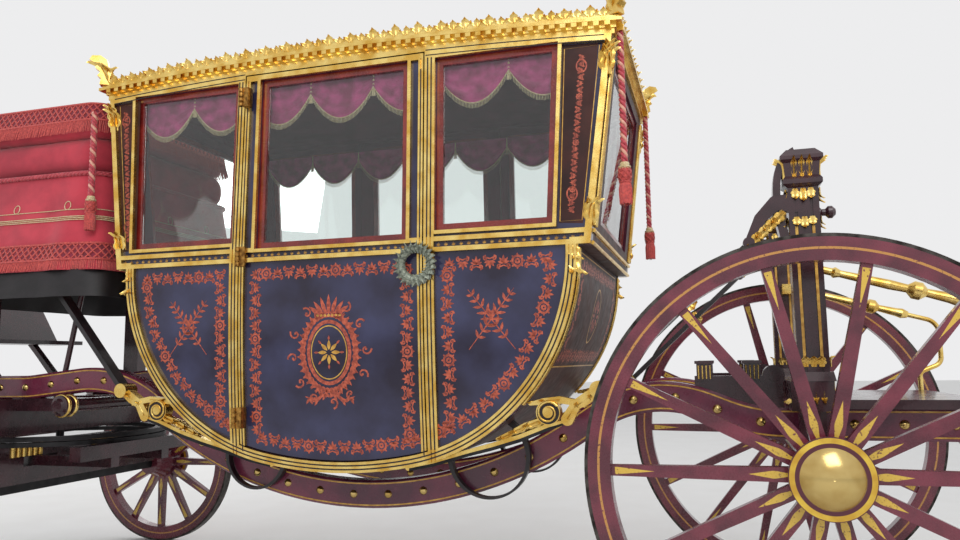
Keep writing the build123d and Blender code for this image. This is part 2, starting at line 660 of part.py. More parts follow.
# Windlass that tightens the braces: cheeks on the perches, fluted blocks, a barrel and a scroll
WINDLASS_X = REAR_AXLE_X + 255.0
WINDLASS_HALF = 170.0
WINDLASS_Z = 1040.0
WINDLASS_H = 150.0
FLUTED_BLOCK = (62.0, 74.0, 70.0)
BLOCK_FLUTES = 4
BLOCK_FROM_END = 40.0
BARREL_R = 26.0
SCROLL_R = 42.0
with BuildPart() as windlass:
    block_z = WINDLASS_Z + WINDLASS_H / 2 + FLUTED_BLOCK[2] / 2 - 20.0
    for side in (1, -1):
        with Locations((WINDLASS_X, side * PERCH_Y, WINDLASS_Z)):
            Box(2 * WINDLASS_HALF, PERCH_W - 20.0, WINDLASS_H)
        for x in (WINDLASS_X + WINDLASS_HALF - BLOCK_FROM_END, WINDLASS_X - WINDLASS_HALF / 3):
            with BuildSketch(Plane.XY.offset(block_z - FLUTED_BLOCK[2] / 2)):
                with Locations((x, side * PERCH_Y)):
                    Rectangle(FLUTED_BLOCK[0], FLUTED_BLOCK[1])
                    with GridLocations(FLUTED_BLOCK[0] / BLOCK_FLUTES, FLUTED_BLOCK[1], BLOCK_FLUTES, 2):
                        Rectangle(FLUTED_BLOCK[0] / BLOCK_FLUTES / 2, 12.0, mode=Mode.SUBTRACT)
            extrude(amount=FLUTED_BLOCK[2])
            with Locations((x, side * PERCH_Y, block_z + FLUTED_BLOCK[2] / 2 + 6.0)):
                Box(FLUTED_BLOCK[0] + 14.0, FLUTED_BLOCK[1] + 14.0, 12)
        with Locations((REAR_AXLE_X + BOLSTER_W / 2 + SEAM + SCROLL_R, side * PERCH_Y, WINDLASS_Z + WINDLASS_H / 2)):
            Cylinder(SCROLL_R, PERCH_W - 10.0, rotation=(90, 0, 0))
            Cylinder(SCROLL_R / 2, PERCH_W + 8.0, rotation=(90, 0, 0))
        add(perch_solid(side), mode=Mode.SUBTRACT)
    with Locations((WINDLASS_X + WINDLASS_HALF - BLOCK_FROM_END, 0, block_z)):
        Cylinder(BARREL_R, 2 * PERCH_Y - 60, rotation=(90, 0, 0))
save(windlass, "windlass")

# Front transom with the turned tie bar behind it, kingpin and upper wheel plate
TIE_BEHIND = 486.0
TIE_X = FRONT_AXLE_X - TIE_BEHIND
TIE_R = 34.0
TIE_DROP = 30.0
# turned profile of the tie bar: distance from the middle, radius
TIE_TURNING = ((0.0, TIE_R), (420.0, TIE_R), (424.0, 50.0), (440.0, 56.0), (456.0, 50.0), (460.0, 40.0),
               (468.0, 40.0), (472.0, 52.0), (488.0, 58.0), (504.0, 52.0), (508.0, 38.0), (520.0, 30.0))


def perch_height(x):
    """Height of the perch's middle line where it runs straight to its front end."""
    (x0, z0, _), (x1, z1, _) = PERCH_CORNERS[-2:]
    share = (x - REAR_AXLE_X - x0) / (x1 - x0)
    return z0 + share * (z1 - z0)


with BuildPart() as front_transom:
    with BuildSketch(Plane.YZ.offset(FRONT_AXLE_X)):
        rect(-BEAM_HALF_Y, BED_TOP_Z + 2 * PLATE_T + PLATE_GAP, BEAM_HALF_Y, TRANSOM_TOP_Z)
        fillet(vertices().group_by(Axis.Y)[0], 40.0)
    extrude(amount=TRANSOM_X / 2, both=True)
    with BuildSketch(Plane.XY.offset(BED_TOP_Z)):
        with Locations((FRONT_AXLE_X, 0)):
            Circle(KINGPIN_R)
    extrude(amount=TRANSOM_TOP_Z - BED_TOP_Z, mode=Mode.SUBTRACT)
    tie_z = perch_height(TIE_X) - PERCH_H / 2 - TIE_R - TIE_DROP
    tie_run = TIE_BEHIND - TRANSOM_X / 2 + 20.0
    with Locations((TIE_X + tie_run / 2, 0, tie_z)):
        with GridLocations(1, PERCH_Y, 1, 3):
            Box(tie_run, PERCH_W, 2 * TIE_R)
    with BuildSketch(Plane.XY):
        Polygon(*[(r, y) for y, r in TIE_TURNING], (0, TIE_TURNING[-1][0]), (0, TIE_TURNING[0][0]), align=None)
    turned = revolve(axis=Axis.Y, mode=Mode.PRIVATE)
    for side in (1, -1):
        half = turned if side > 0 else mirror(turned, about=Plane.XZ, mode=Mode.PRIVATE)
        add(half.moved(Location((TIE_X, 0, tie_z))))
    for side in (1, -1):
        add(perch_solid(side, SEAM), mode=Mode.SUBTRACT)
save(front_transom, "front_transom")

with BuildPart() as kingpin:
    with BuildSketch(Plane.XY.offset(BED_TOP_Z - 190.0)):
        with Locations((FRONT_AXLE_X, 0)):
            Circle(KINGPIN_R - SEAM)
    extrude(amount=TRANSOM_TOP_Z - BED_TOP_Z + 190.0)
    with BuildSketch(Plane.XY.offset(TRANSOM_TOP_Z)):
        with Locations((FRONT_AXLE_X, 0)):
            RegularPolygon(44, 6)
    extrude(amount=34)
save(kingpin, "kingpin")


def plate_ring(name, base_z):
    """A flat iron ring round the kingpin."""
    with BuildPart() as ring:
        with BuildSketch(Plane.XY.offset(base_z)):
            with Locations((FRONT_AXLE_X, 0)):
                Circle(PLATE_R)
                Circle(PLATE_R - PLATE_W, mode=Mode.SUBTRACT)
        extrude(amount=PLATE_T)
    save(ring, name)


plate_ring("wheel_plate_lower", BED_TOP_Z)
plate_ring("wheel_plate_upper", BED_TOP_Z + PLATE_T + PLATE_GAP)

# Fore-carriage: bed over the axle, futchells, splinter bar and pole socket
FRONT_BED_Z = FRONT_WHEEL_R + AXLE_SQ / 2
with BuildPart() as front_axle_bed:
    with BuildSketch(Plane.XY.offset(FRONT_BED_Z)):
        with Locations((FRONT_AXLE_X, 0)):
            Rectangle(120, 2 * AXLE_SHOULDER_Y - 40)
    extrude(amount=LOWER_BEAM_H)
    with BuildSketch(Plane.XY.offset(BED_TOP_Z - UPPER_BEAM_H)):
        with Locations((FRONT_AXLE_X, 0)):
            Rectangle(120, 2 * BEAM_HALF_Y)
    extrude(amount=UPPER_BEAM_H)
    block_h = BED_TOP_Z - UPPER_BEAM_H - FRONT_BED_Z - LOWER_BEAM_H
    for y in (380.0, 0.0, -380.0):
        with Locations((FRONT_AXLE_X, y, FRONT_BED_Z + LOWER_BEAM_H + block_h / 2)):
            Box(130, 150, block_h)
    with BuildSketch(Plane.XY.offset(FRONT_BED_Z)):
        with Locations((FRONT_AXLE_X, 0)):
            Circle(KINGPIN_R)
    extrude(amount=BED_TOP_Z - FRONT_BED_Z, mode=Mode.SUBTRACT)
save(front_axle_bed, "front_axle_bed")

FUTCHELL_Z = FRONT_BED_Z + LOWER_BEAM_H
SWAY_X = FRONT_AXLE_X - PLATE_R + PLATE_W / 2
with BuildPart() as futchells:
    for side in (1, -1):
        with Locations((((SWAY_X - 30.0) + (FRONT_END_X - 10.0)) / 2, side * FUTCHELL_Y, FUTCHELL_Z + block_h / 2)):
            Box(FRONT_END_X - SWAY_X + 20.0, FUTCHELL_W, block_h)
    with Locations((SWAY_X, 0, (FUTCHELL_Z + block_h + BED_TOP_Z) / 2)):
        Box(70, 900, BED_TOP_Z - FUTCHELL_Z - block_h)
    with Locations((FRONT_END_X - 10.0 - POLE_DEPTH / 2, 0, FUTCHELL_Z + block_h / 2)):
        Box(POLE_DEPTH, 2 * FUTCHELL_Y - FUTCHELL_W, 130)
    with BuildSketch(Plane.YZ.offset(FRONT_END_X - 10.0)):
        with Locations((0, FUTCHELL_Z + block_h / 2)):
            Circle(POLE_R)
    extrude(amount=-POLE_DEPTH, mode=Mode.SUBTRACT)
save(futchells, "futchells")

with BuildPart() as splinter_bar:
    with Locations((FRONT_END_X - SPLINTER_D / 2, 0, FUTCHELL_Z + 65.0 + block_h / 2 + 35.0)):
        Box(SPLINTER_D, 2 * SPLINTER_HALF, 70)
    for y in (700.0, 330.0, -330.0, -700.0):
        with Locations((FRONT_END_X - SPLINTER_D / 2, y, FUTCHELL_Z + 65.0 + block_h / 2 + 70.0 + 35.0)):
            Cylinder(20, 70)
            with Locations((0, 0, 35.0)):
                Cylinder(32, 12)
save(splinter_bar, "splinter_bar")

# Slings: gilded loop irons under the cabin's corners and the leather braces
# loop iron in side view, from the cabin's middle: distance out, Z, radius
LOOP_LIMB = ((LOOP_END_X, LOOP_END_Z, 20.0), (1100.0, 1034.0, 24.0), (1055.0, 1008.0, 20.0), (1020.0, 950.0, 25.0))
LOOP_STEM = ((1062.0, 1016.0, 12.0), (990.0, 1028.0, 14.0), (925.0, 1022.0, 13.0), (868.0, 1012.0, 7.0))
LOOP_PLATE = ((1005.0, 938.0, 9.0), (943.0, 920.0, 14.0), (820.0, 872.0, 15.0), (700.0, 836.0, 15.0),
              (600.0, 810.0, 14.0), (440.0, 764.0, 14.0), (330.0, 742.0, 12.0))
LOOP_LEAF = ((915.0, 945.0, 12.0), (845.0, 922.0, 13.0), (785.0, 893.0, 10.0), (725.0, 868.0, 6.0))
VOLUTE = (943.0, 977.0, 50.0)
VOLUTE_T = 52.0
with BuildPart() as body_loops:
    for side in (1, -1):
        for end in (1, -1):
            layers = (
                ((LOOP_LIMB, LOOP_STEM), LOOP_T),
                ((LOOP_PLATE, LOOP_LEAF), LOOP_T - 8.0),
            )
            for chains, depth in layers:
                with BuildSketch(Plane.XZ.offset(-side * LOOP_Y)):
                    for chain in chains:
                        blade([(BODY_X + end * out, z, radius) for out, z, radius in chain])
                    add(elevation(-SEAM), mode=Mode.SUBTRACT)
                extrude(amount=depth / 2, both=True)
            with BuildSketch(Plane.XZ.offset(-side * LOOP_Y)):
                with Locations((BODY_X + end * VOLUTE[0], VOLUTE[1])):
                    Circle(VOLUTE[2])
            extrude(amount=VOLUTE_T / 2, both=True)
            with Locations((BODY_X + end * VOLUTE[0], side * LOOP_Y, VOLUTE[1])):
                Cylinder(VOLUTE[2] / 2.4, VOLUTE_T + 12.0, rotation=(90, 0, 0))
            with Locations((BODY_X + end * LOOP_END_X, side * LOOP_Y, LOOP_END_Z)):
                Cylinder(LOOP_EYE_R, BRACE_W + 20, rotation=(90, 0, 0))
save(body_loops, "body_loops")


def strap(start, finish, thickness=BRACE_T, width=BRACE_W):
    """A taut leather band between two points of the XZ plane, at the loops' distance out."""
    run = Vector(finish[0] - start[0], 0, finish[1] - start[1])
    length = run.length
    middle = Vector((start[0] + finish[0]) / 2, 0, (start[1] + finish[1]) / 2)
    for side in (1, -1):
        frame = Plane(origin=middle + Vector(0, side * LOOP_Y, 0), x_dir=run.normalized(), z_dir=(0, 1, 0))
        with BuildSketch(frame) as band:
            Rectangle(length, thickness)
        extrude(band.sketch, amount=width / 2, both=True)


def brace_ends(end, top_x, top_z):
    """Where a brace starts at its loop's eye and ends at the eye of its arm."""
    eye = Vector(BODY_X + end * LOOP_END_X, LOOP_END_Z)
    run = (Vector(top_x, top_z) - eye).normalized()
    start = eye + run * (LOOP_EYE_R + SEAM)
    finish = Vector(top_x, top_z) - run * (ARM_EYE_R + SEAM)
    return (start.X, start.Y), (finish.X, finish.Y)


def keel_z(along_body):
    """Height of the cabin's underside at a distance from its middle."""
    sag = TURN_Z - KEEL_Z
    keel_r = (TURN_HALF**2 + sag**2) / (2 * sag)
    if abs(along_body) < TURN_HALF:
        return KEEL_Z + keel_r - sqrt(keel_r**2 - along_body**2)
    ahead = TURN_HALF / keel_r
    up = sqrt(1 - ahead**2)
    reach = Vector(LOW_HALF - TURN_HALF, BELT_Z - TURN_Z)
    corner_r = reach.length**2 / (2 * (reach.Y * up - reach.X * ahead))
    middle = TURN_HALF - corner_r * ahead
    return TURN_Z + corner_r * up - sqrt(corner_r**2 - (abs(along_body) - middle) ** 2)


# leather checks that limit the cabin's swing, hung outside the perches
CHECK_Y = PERCH_Y + PERCH_W / 2 + 30.0
CHECK_W = 36.0
CHECK_HALF = 150.0
# place along the body, sag of the strap
CHECK_STRAPS = ((-600.0, 235.0), (500.0, 190.0))
with BuildPart() as braces:
    strap(*brace_ends(-1, *REAR_BRACE_TOP))
    strap(*brace_ends(1, *FRONT_BRACE_TOP))
    for along_body, sag in CHECK_STRAPS:
        top_z = keel_z(along_body) - SEAM
        for side in (1, -1):
            with BuildSketch(Plane.XZ.offset(-side * CHECK_Y)):
                with BuildLine():
                    outer = ThreePointArc(
                        (BODY_X + along_body - CHECK_HALF, keel_z(along_body - CHECK_HALF) - SEAM),
                        (BODY_X + along_body, top_z - sag),
                        (BODY_X + along_body + CHECK_HALF, keel_z(along_body + CHECK_HALF) - SEAM),
                    )
                    inner = ThreePointArc(
                        (BODY_X + along_body - CHECK_HALF + BRACE_T, keel_z(along_body - CHECK_HALF + BRACE_T) - SEAM),
                        (BODY_X + along_body, top_z - sag + BRACE_T / 2),
                        (BODY_X + along_body + CHECK_HALF - BRACE_T, keel_z(along_body + CHECK_HALF - BRACE_T) - SEAM),
                    )
                    Line(outer @ 0, inner @ 0)
                    Line(outer @ 1, inner @ 1)
                make_face()
                add(elevation(-SEAM), mode=Mode.SUBTRACT)
            extrude(amount=CHECK_W / 2, both=True)
save(braces, "braces")

# Front standards and the driver's seat frame
# the arm that takes a brace's end: distance behind the standard's face, Z, radius
FRONT_ARM = ((-20.0, 1660.0, 46.0), (60.0, 1722.0, 34.0), (200.0, 1758.0, 26.0))
with BuildPart() as front_standards:
    for side in (1, -1):
        with BuildSketch(Plane.XY.offset(TRANSOM_TOP_Z)):
            with Locations((FRONT_STANDARD_X, side * STANDARD_Y)):
                Rectangle(STANDARD_W, STANDARD_D - 10.0)
        extrude(amount=FRONT_STANDARD_TOP_Z - TRANSOM_TOP_Z)
        with BuildLine(Plane.XZ.offset(-side * PERCH_Y)) as stay:
            Line((SEAT_STAY_X, FRONT_STANDARD_TOP_Z), (SEAT_STAY_X + 140.0, 1130.0))
        with BuildSketch(Plane(origin=stay.wires()[0] @ 0, x_dir=(0, 1, 0), z_dir=stay.wires()[0] % 0)):
            Circle(14)
        sweep(path=stay.wires()[0])
        add(perch_solid(side, SEAM), mode=Mode.SUBTRACT)
        with BuildSketch(Plane.XZ.offset(-side * LOOP_Y)):
            blade([(FRONT_STANDARD_X - STANDARD_W / 2 - back, z, radius) for back, z, radius in FRONT_ARM]
                  + [(*FRONT_BRACE_TOP, ARM_EYE_R - 6.0)])
        extrude(amount=ARM_T / 2, both=True)
        with Locations((FRONT_BRACE_TOP[0], side * LOOP_Y, FRONT_BRACE_TOP[1])):
            Cylinder(ARM_EYE_R, BRACE_W + 12.0, rotation=(90, 0, 0))
    with Locations((SEAT_STAY_X, 0, FRONT_STANDARD_TOP_Z + 500.0)):
        Box(200, 2000, 1000, mode=Mode.SUBTRACT)
save(front_standards, "front_standards")

SEAT_BEAM_H = 50.0
with BuildPart() as seat_frame:
    for x in (SEAT_STAY_X, FRONT_STANDARD_X):
        with Locations((x, 0, FRONT_STANDARD_TOP_Z + SEAT_BEAM_H / 2)):
            Box(80, 2 * SEAT_BEAM_HALF, SEAT_BEAM_H)
    with BuildSketch(Plane.XY.offset(FRONT_STANDARD_TOP_Z + SEAT_BEAM_H)):
        with Locations((SEAT_X, 0)):
            Rectangle(640, 2 * 440)
            Rectangle(520, 2 * 360, mode=Mode.SUBTRACT)
    extrude(amount=CLOTH_WAIST_Z - FRONT_STANDARD_TOP_Z - SEAT_BEAM_H - CLOTH_T)
save(seat_frame, "seat_frame")


def cloth_block(sections, inset=0.0, drop=0.0):
    """A closed block through rounded sections of the draped cloth, its head lowered by a drop."""
    with BuildPart() as block:
        for row, (z, half_x, half_y, corner_r, ahead) in enumerate(sections):
            with BuildSketch(Plane.XY.offset(z - (drop if row == 0 else 0.0))):
                with Locations((SEAT_X + ahead, 0)):
                    RectangleRounded(2 * (half_x - inset), 2 * (half_y - inset), corner_r - inset)
        loft(ruled=True)
    return block.part


with BuildPart() as hammercloth:
    add(cloth_block(SKIRT))
    add(cloth_block(UNDER_CLOTH))
    add(cloth_block(SKIRT, CLOTH_T, CLOTH_T), mode=Mode.SUBTRACT)
    add(cloth_block(UNDER_CLOTH, UNDER_CLOTH_T), mode=Mode.SUBTRACT)
save(hammercloth, "hammercloth")

with BuildPart() as driver_cushion:
    with BuildSketch(Plane.XY.offset(CLOTH_WAIST_Z + SEAM)):
        with Locations((SEAT_X, 0)):
            RectangleRounded(2 * (SEAT_HALF_X + ROLL_PUFF), 2 * (SEAT_HALF_Y + ROLL_PUFF), ROLL_CORNER_R)
    extrude(amount=ROLL_H)
    fillet(faces().sort_by(Axis.Z)[-1].edges() + faces().sort_by(Axis.Z)[0].edges(), ROLL_H / 2.6)
    with BuildSketch(Plane.XY.offset(CLOTH_WAIST_Z + ROLL_H - 15.0)):
        with Locations((SEAT_X, 0)):
            RectangleRounded(2 * SEAT_HALF_X, 2 * SEAT_HALF_Y, ROLL_CORNER_R - 20.0)
    extrude(amount=CUSHION_H, taper=CUSHION_LEAN)
    fillet(faces().sort_by(Axis.Z)[-1].edges(), CUSHION_H / 4)
    for side in (1, -1):
        hook = Vector(BOX_ROPE_X, side * BOX_ROPE_Y, BOX_ROPE_TOP_Z + SEAM + HOOK_R + HOOK_LIP)
        root = Vector(SEAT_X - SEAT_HALF_X + 110.0, side * (SEAT_HALF_Y - 110.0), hook.Z)
        with BuildSketch(Plane(origin=root, x_dir=(0, 0, 1), z_dir=(hook - root).normalized())):
            Circle(HOOK_R)
        extrude(amount=(hook - root).length)
        with Locations(hook):
            Cylinder(BOX_ROPE_R + 4.0, 2 * (HOOK_R + HOOK_LIP))
save(driver_cushion, "driver_cushion")

with BuildPart() as footboard:
    with BuildSketch(Plane.XZ):
        with BuildLine():
            Polyline(
                (FRONT_AXLE_X + TRANSOM_X / 2, 960.0),
                (FRONT_AXLE_X + TRANSOM_X / 2, 900.0),
                (FOOTBOARD_X - 60.0, FOOTBOARD_Z - 60.0),
                (FOOTBOARD_X, FOOTBOARD_Z),
                (FOOTBOARD_X - 40.0, FOOTBOARD_Z),
                close=True,
            )
        make_face()
    extrude(amount=230, both=True)
    with Locations((FOOTBOARD_X - 200.0, 0, 1100.0)):
        Box(800, 380, 900, mode=Mode.SUBTRACT)
    with BuildSketch(Plane.XZ):
        with BuildLine():
            Polyline(
                (FOOTBOARD_X - 200.0, FOOTBOARD_Z),
                (FOOTBOARD_X + 20.0, FOOTBOARD_Z),
                (FOOTBOARD_X + 170.0, FOOTBOARD_Z + 230.0),
                (FOOTBOARD_X + 150.0, FOOTBOARD_Z + 245.0),
                (FOOTBOARD_X + 5.0, FOOTBOARD_Z + 24.0),
                (FOOTBOARD_X - 200.0, FOOTBOARD_Z + 24.0),
                close=True,
            )
        make_face()
    extrude(amount=430, both=True)
save(footboard, "footboard")

# Cabin: floor pan, end walls, sides, doors, roof
BAND_Y = long_prism(WALL + SEAM)


def end_band():
    """The cabin's bottom and end walls as one bent band between the sides."""
    with BuildPart() as band:
        extrude(elevation(), amount=800.0, both=True)
        add(through(elevation(WALL, open_head=True)), mode=Mode.SUBTRACT)
        add(BAND_Y, mode=Mode.INTERSECT)
    return band.part


FLOOR_SPLIT_Z = 1100.0
with BuildPart() as body_floor:
    add(end_band())
    with Locations((BODY_X, 0, FLOOR_SPLIT_Z + 1500.0)):
        Box(4000, 2000, 3000, mode=Mode.SUBTRACT)
save(body_floor, "body_floor")

for end, end_name in ((1, "front_wall"), (-1, "rear_wall")):
    with BuildPart() as end_wall:
        add(end_band())
        with Locations((BODY_X, 0, FLOOR_SPLIT_Z - 1500.0)):
            Box(4000, 2000, 3000, mode=Mode.SUBTRACT)
        with Locations((BODY_X - end * 2000.0, 0, 1500.0)):
            Box(4000, 2000, 3000, mode=Mode.SUBTRACT)
        add(along(end_glass(SASH_W)), mode=Mode.SUBTRACT)
    save(end_wall, end_name)


def save_both(builder, stem, tag_left="left", tag_right="right"):
    """Write a left-hand piece and its mirror image."""
    save(builder, f"{stem}_{tag_left}")
    with BuildPart() as twin:
        add(mirror(builder.part, about=Plane.XZ, mode=Mode.PRIVATE))
    save(twin, f"{stem}_{tag_right}")


with BuildPart() as side_wall:
    add(side_layer(0.0, WALL))
    add(through(door_outline(DOOR_GAP)), mode=Mode.SUBTRACT)
    for which in QUARTER_GLASS:
        add(through(quarter_glass(which, SASH_W)), mode=Mode.SUBTRACT)
save_both(side_wall, "side_wall")

with BuildPart() as door:
    add(side_layer(0.0, WALL))
    add(through(door_outline()), mode=Mode.INTERSECT)
    add(through(door_glass(SASH_W)), mode=Mode.SUBTRACT)
save_both(door, "door")


def frame_piece(glass, outer, inner):
    """A sash: the ring round a window's glass, between two depths of the wall."""
    with BuildPart() as ring:
        add(side_layer(outer, inner))
        add(through(glass(SASH_W - SEAM)), mode=Mode.INTERSECT)
        add(through(glass(0.0)), mode=Mode.SUBTRACT)
    return ring.part


def pane_piece(glass):
    """A window's glass, between the sash's inner edges."""
    middle = SASH_OUT + SASH_T / 2
    with BuildPart() as pane:
        add(side_layer(middle - PANE_T / 2, middle + PANE_T / 2))
        add(through(glass(-SEAM)), mode=Mode.INTERSECT)
    return pane.part


def front_glass(grow):
    """The front quarter window."""
    return quarter_glass("front", grow)


def rear_glass(grow):
    """The rear quarter window."""
    return quarter_glass("rear", grow)


def end_layer(outer, inner):
    """Both end walls' material between two depths."""
    with BuildPart() as layer:
        extrude(elevation(outer), amount=800.0, both=True)
        add(through(elevation(inner, open_head=True)), mode=Mode.SUBTRACT)
        add(BAND_Y, mode=Mode.INTERSECT)
    return layer.part


def end_sashes():
    """The rings round the front and rear windows' glass."""
    with BuildPart() as rings:
        add(end_layer(SASH_OUT, SASH_OUT + SASH_T))
        add(along(end_glass(SASH_W - SEAM)), mode=Mode.INTERSECT)
        add(along(end_glass()), mode=Mode.SUBTRACT)
    return rings.part


def end_panes():
    """The front and rear windows' glass."""
    middle = SASH_OUT + SASH_T / 2
    with BuildPart() as glazing:
        add(end_layer(middle - PANE_T / 2, middle + PANE_T / 2))
        add(along(end_glass(-SEAM)), mode=Mode.INTERSECT)
    return glazing.part


with BuildPart() as sashes:
    for glass in (front_glass, rear_glass):
        piece = frame_piece(glass, SASH_OUT, SASH_OUT + SASH_T)
        add(piece)
        add(mirror(piece, about=Plane.XZ, mode=Mode.PRIVATE))
    add(end_sashes())
save(sashes, "sashes")

with BuildPart() as panes:
    for glass in (front_glass, rear_glass):
        piece = pane_piece(glass)
        add(piece)
        add(mirror(piece, about=Plane.XZ, mode=Mode.PRIVATE))
    add(end_panes())
save(panes, "panes")

with BuildPart() as door_sash:
    add(frame_piece(door_glass, SASH_OUT, SASH_OUT + SASH_T))
save_both(door_sash, "door_sash")

with BuildPart() as door_pane:
    add(pane_piece(door_glass))
save_both(door_pane, "door_pane")


# Gilt mouldings
def belt_bands():
    """The two rails of the belt, across the whole side."""
    for z in (BELT_Z, BELT_Z + BELT_H - BELT_BAND):
        rect(BODY_X - TOP_HALF, z, BODY_X + TOP_HALF, z + BELT_BAND)


def reed_cut(sketch):
    """The outer skin of the mouldings on the left side, within a sketch of grooves."""
    with BuildPart() as cut:
        add(through(sketch))
        add(side_layer(-MOULD_T - 1.0, REED_DEPTH - MOULD_T), mode=Mode.INTERSECT)
    return cut.part


EDGE_REED = (EDGE_BAND - DOOR_GAP - 2 * REED_GROOVE) / 3
POST_REED = (POST_BAND - 2 * REED_GROOVE) / 3
with BuildSketch(Plane.XZ) as side_grooves:
    for row in (1, 2):
        start = row * EDGE_REED + (row - 1) * REED_GROOVE
        add(elevation(start))
        add(elevation(start + REED_GROOVE), mode=Mode.SUBTRACT)
        with BuildSketch(mode=Mode.SUBTRACT):
            rect(BODY_X - TOP_HALF, BELT_Z, BODY_X + TOP_HALF, TOP_Z + 100.0)
with BuildSketch(Plane.XZ) as post_grooves:
    for post in (DOOR_X - DOOR_HALF - DOOR_GAP - POST_BAND, DOOR_X + DOOR_HALF + DOOR_GAP):
        for row in (1, 2):
            start = post + row * POST_REED + (row - 1) * REED_GROOVE
            rect(start, TURN_Z - 70.0, start + REED_GROOVE, TOP_Z)
with BuildSketch(Plane.XZ) as side_bands:
    add(elevation())
    add(elevation(EDGE_BAND - DOOR_GAP), mode=Mode.SUBTRACT)
    with BuildSketch(mode=Mode.SUBTRACT):
        rect(BODY_X - TOP_HALF, BELT_Z, BODY_X + TOP_HALF, TOP_Z + 100.0)
with BuildSketch(Plane.XZ) as head_bands:
    add(elevation())
    add(elevation(CORNER_BAND), mode=Mode.SUBTRACT)
    with BuildSketch(mode=Mode.SUBTRACT):
        rect(BODY_X - TOP_HALF, 0.0, BODY_X + TOP_HALF, BELT_Z)
def side_moulding():
    """All fixed mouldings of the left side."""
    with BuildPart() as side_mould:
        with BuildSketch(Plane.XZ):
            add(side_bands.sketch)
            add(head_bands.sketch)
            belt_bands()
            for x in (DOOR_X - DOOR_HALF - DOOR_GAP - POST_BAND, DOOR_X + DOOR_HALF + DOOR_GAP):
                rect(x, KEEL_Z, x + POST_BAND, TOP_Z + TOP_RISE)
            for which in QUARTER_GLASS:
                add(quarter_glass(which, SASH_W + SASH_BAND))
            for which in QUARTER_GLASS:
                add(quarter_glass(which, SASH_W), mode=Mode.SUBTRACT)
            add(door_outline(DOOR_GAP), mode=Mode.SUBTRACT)
        extrude(amount=900.0, both=True)
        add(side_layer(-MOULD_T, -SEAM), mode=Mode.INTERSECT)
        add(reed_cut(side_grooves.sketch), mode=Mode.SUBTRACT)
        add(reed_cut(post_grooves.sketch), mode=Mode.SUBTRACT)
    return side_mould.part


with BuildPart() as mouldings:
    left_moulding = side_moulding()
    add(left_moulding)
    add(mirror(left_moulding, about=Plane.XZ, mode=Mode.PRIVATE))
save(mouldings, "mouldings")

with BuildSketch(Plane.XZ) as door_grooves:
    for way in (1, -1):
        start = DOOR_X + way * (DOOR_HALF - POST_BAND / 4)
        rect(start - REED_GROOVE / 2, TURN_Z, start + REED_GROOVE / 2, TOP_Z)
with BuildPart() as door_trim:
    with BuildSketch(Plane.XZ):
        add(door_outline())
        with BuildSketch(mode=Mode.SUBTRACT):
            rect(DOOR_X - DOOR_HALF + POST_BAND / 2, 0.0, DOOR_X + DOOR_HALF - POST_BAND / 2, DOOR_TOP_Z - CORNER_BAND)
        with BuildSketch():
            rect(DOOR_X - DOOR_HALF, BELT_Z, DOOR_X + DOOR_HALF, BELT_Z + BELT_BAND)
            rect(DOOR_X - DOOR_HALF, BELT_Z + BELT_H - BELT_BAND, DOOR_X + DOOR_HALF, BELT_Z + BELT_H)
        add(door_glass(SASH_W + SASH_BAND))
        add(door_glass(SASH_W), mode=Mode.SUBTRACT)
        add(door_outline(), mode=Mode.INTERSECT)
    extrude(amount=900.0, both=True)
    add(side_layer(-MOULD_T, -SEAM), mode=Mode.INTERSECT)
    add(reed_cut(door_grooves.sketch), mode=Mode.SUBTRACT)
    for z in HINGE_ZS:
        with Locations((HINGE_PIN_X, HINGE_PIN_Y, z)):
            Cylinder(HINGE_PIN_R, HINGE_LEAF_H)
        with Locations((HINGE_PIN_X - 16.0, (HINGE_PIN_Y + TOP_HALF_W) / 2 - 20.0, z)):
            Box(20, HINGE_PIN_Y - TOP_HALF_W + 40.0, HINGE_LEAF_H)
    add(side_layer(-200.0, -SEAM), mode=Mode.INTERSECT)
    with Locations((HANDLE_X, BELT_HALF_W + MOULD_T + HANDLE_ROPE_R + SEAM, HANDLE_Z)):
        Torus(HANDLE_R, HANDLE_ROPE_R, rotation=(90, 0, 0))
save_both(door_trim, "door_trim")

# Cornice with its cresting and corner ornaments


def cornice_tier(out, low, high):
    """One step of the cornice: a ring that follows the arched top line."""
    with BuildPart() as tier:
        with BuildSketch(Plane.XZ):
            with BuildLine():
                half = TOP_HALF + out
                left, mid, right = roof_arc(low, half)
                lift = high - low
                ThreePointArc(left, mid, right)
                Line(right, (right[0], right[1] + lift))
                ThreePointArc((right[0], right[1] + lift), (mid[0], mid[1] + lift), (left[0], left[1] + lift))
                Line((left[0], left[1] + lift), left)
            make_face()
        extrude(amount=TOP_HALF_W + out, both=True)
        with Locations((BODY_X, 0, TOP_Z)):
            Box(2 * (TOP_HALF - CORNICE_IN), 2 * (TOP_HALF_W - CORNICE_IN), 600, mode=Mode.SUBTRACT)
    return tier.part


def crest_strip(half_length, base_z, count):
    """A strip of palmettes between small balls, drawn along a straight edge."""
    pitch = 2 * half_length / count
    with Locations((0, base_z + CREST_FOOT_H / 2)):
        Rectangle(2 * half_length, CREST_FOOT_H)
    with Locations((0, base_z)):
        with GridLocations(pitch, 1, count, 1):
            Polygon(*[(share * pitch, up * CREST_H) for share, up in PALMETTE], align=None)


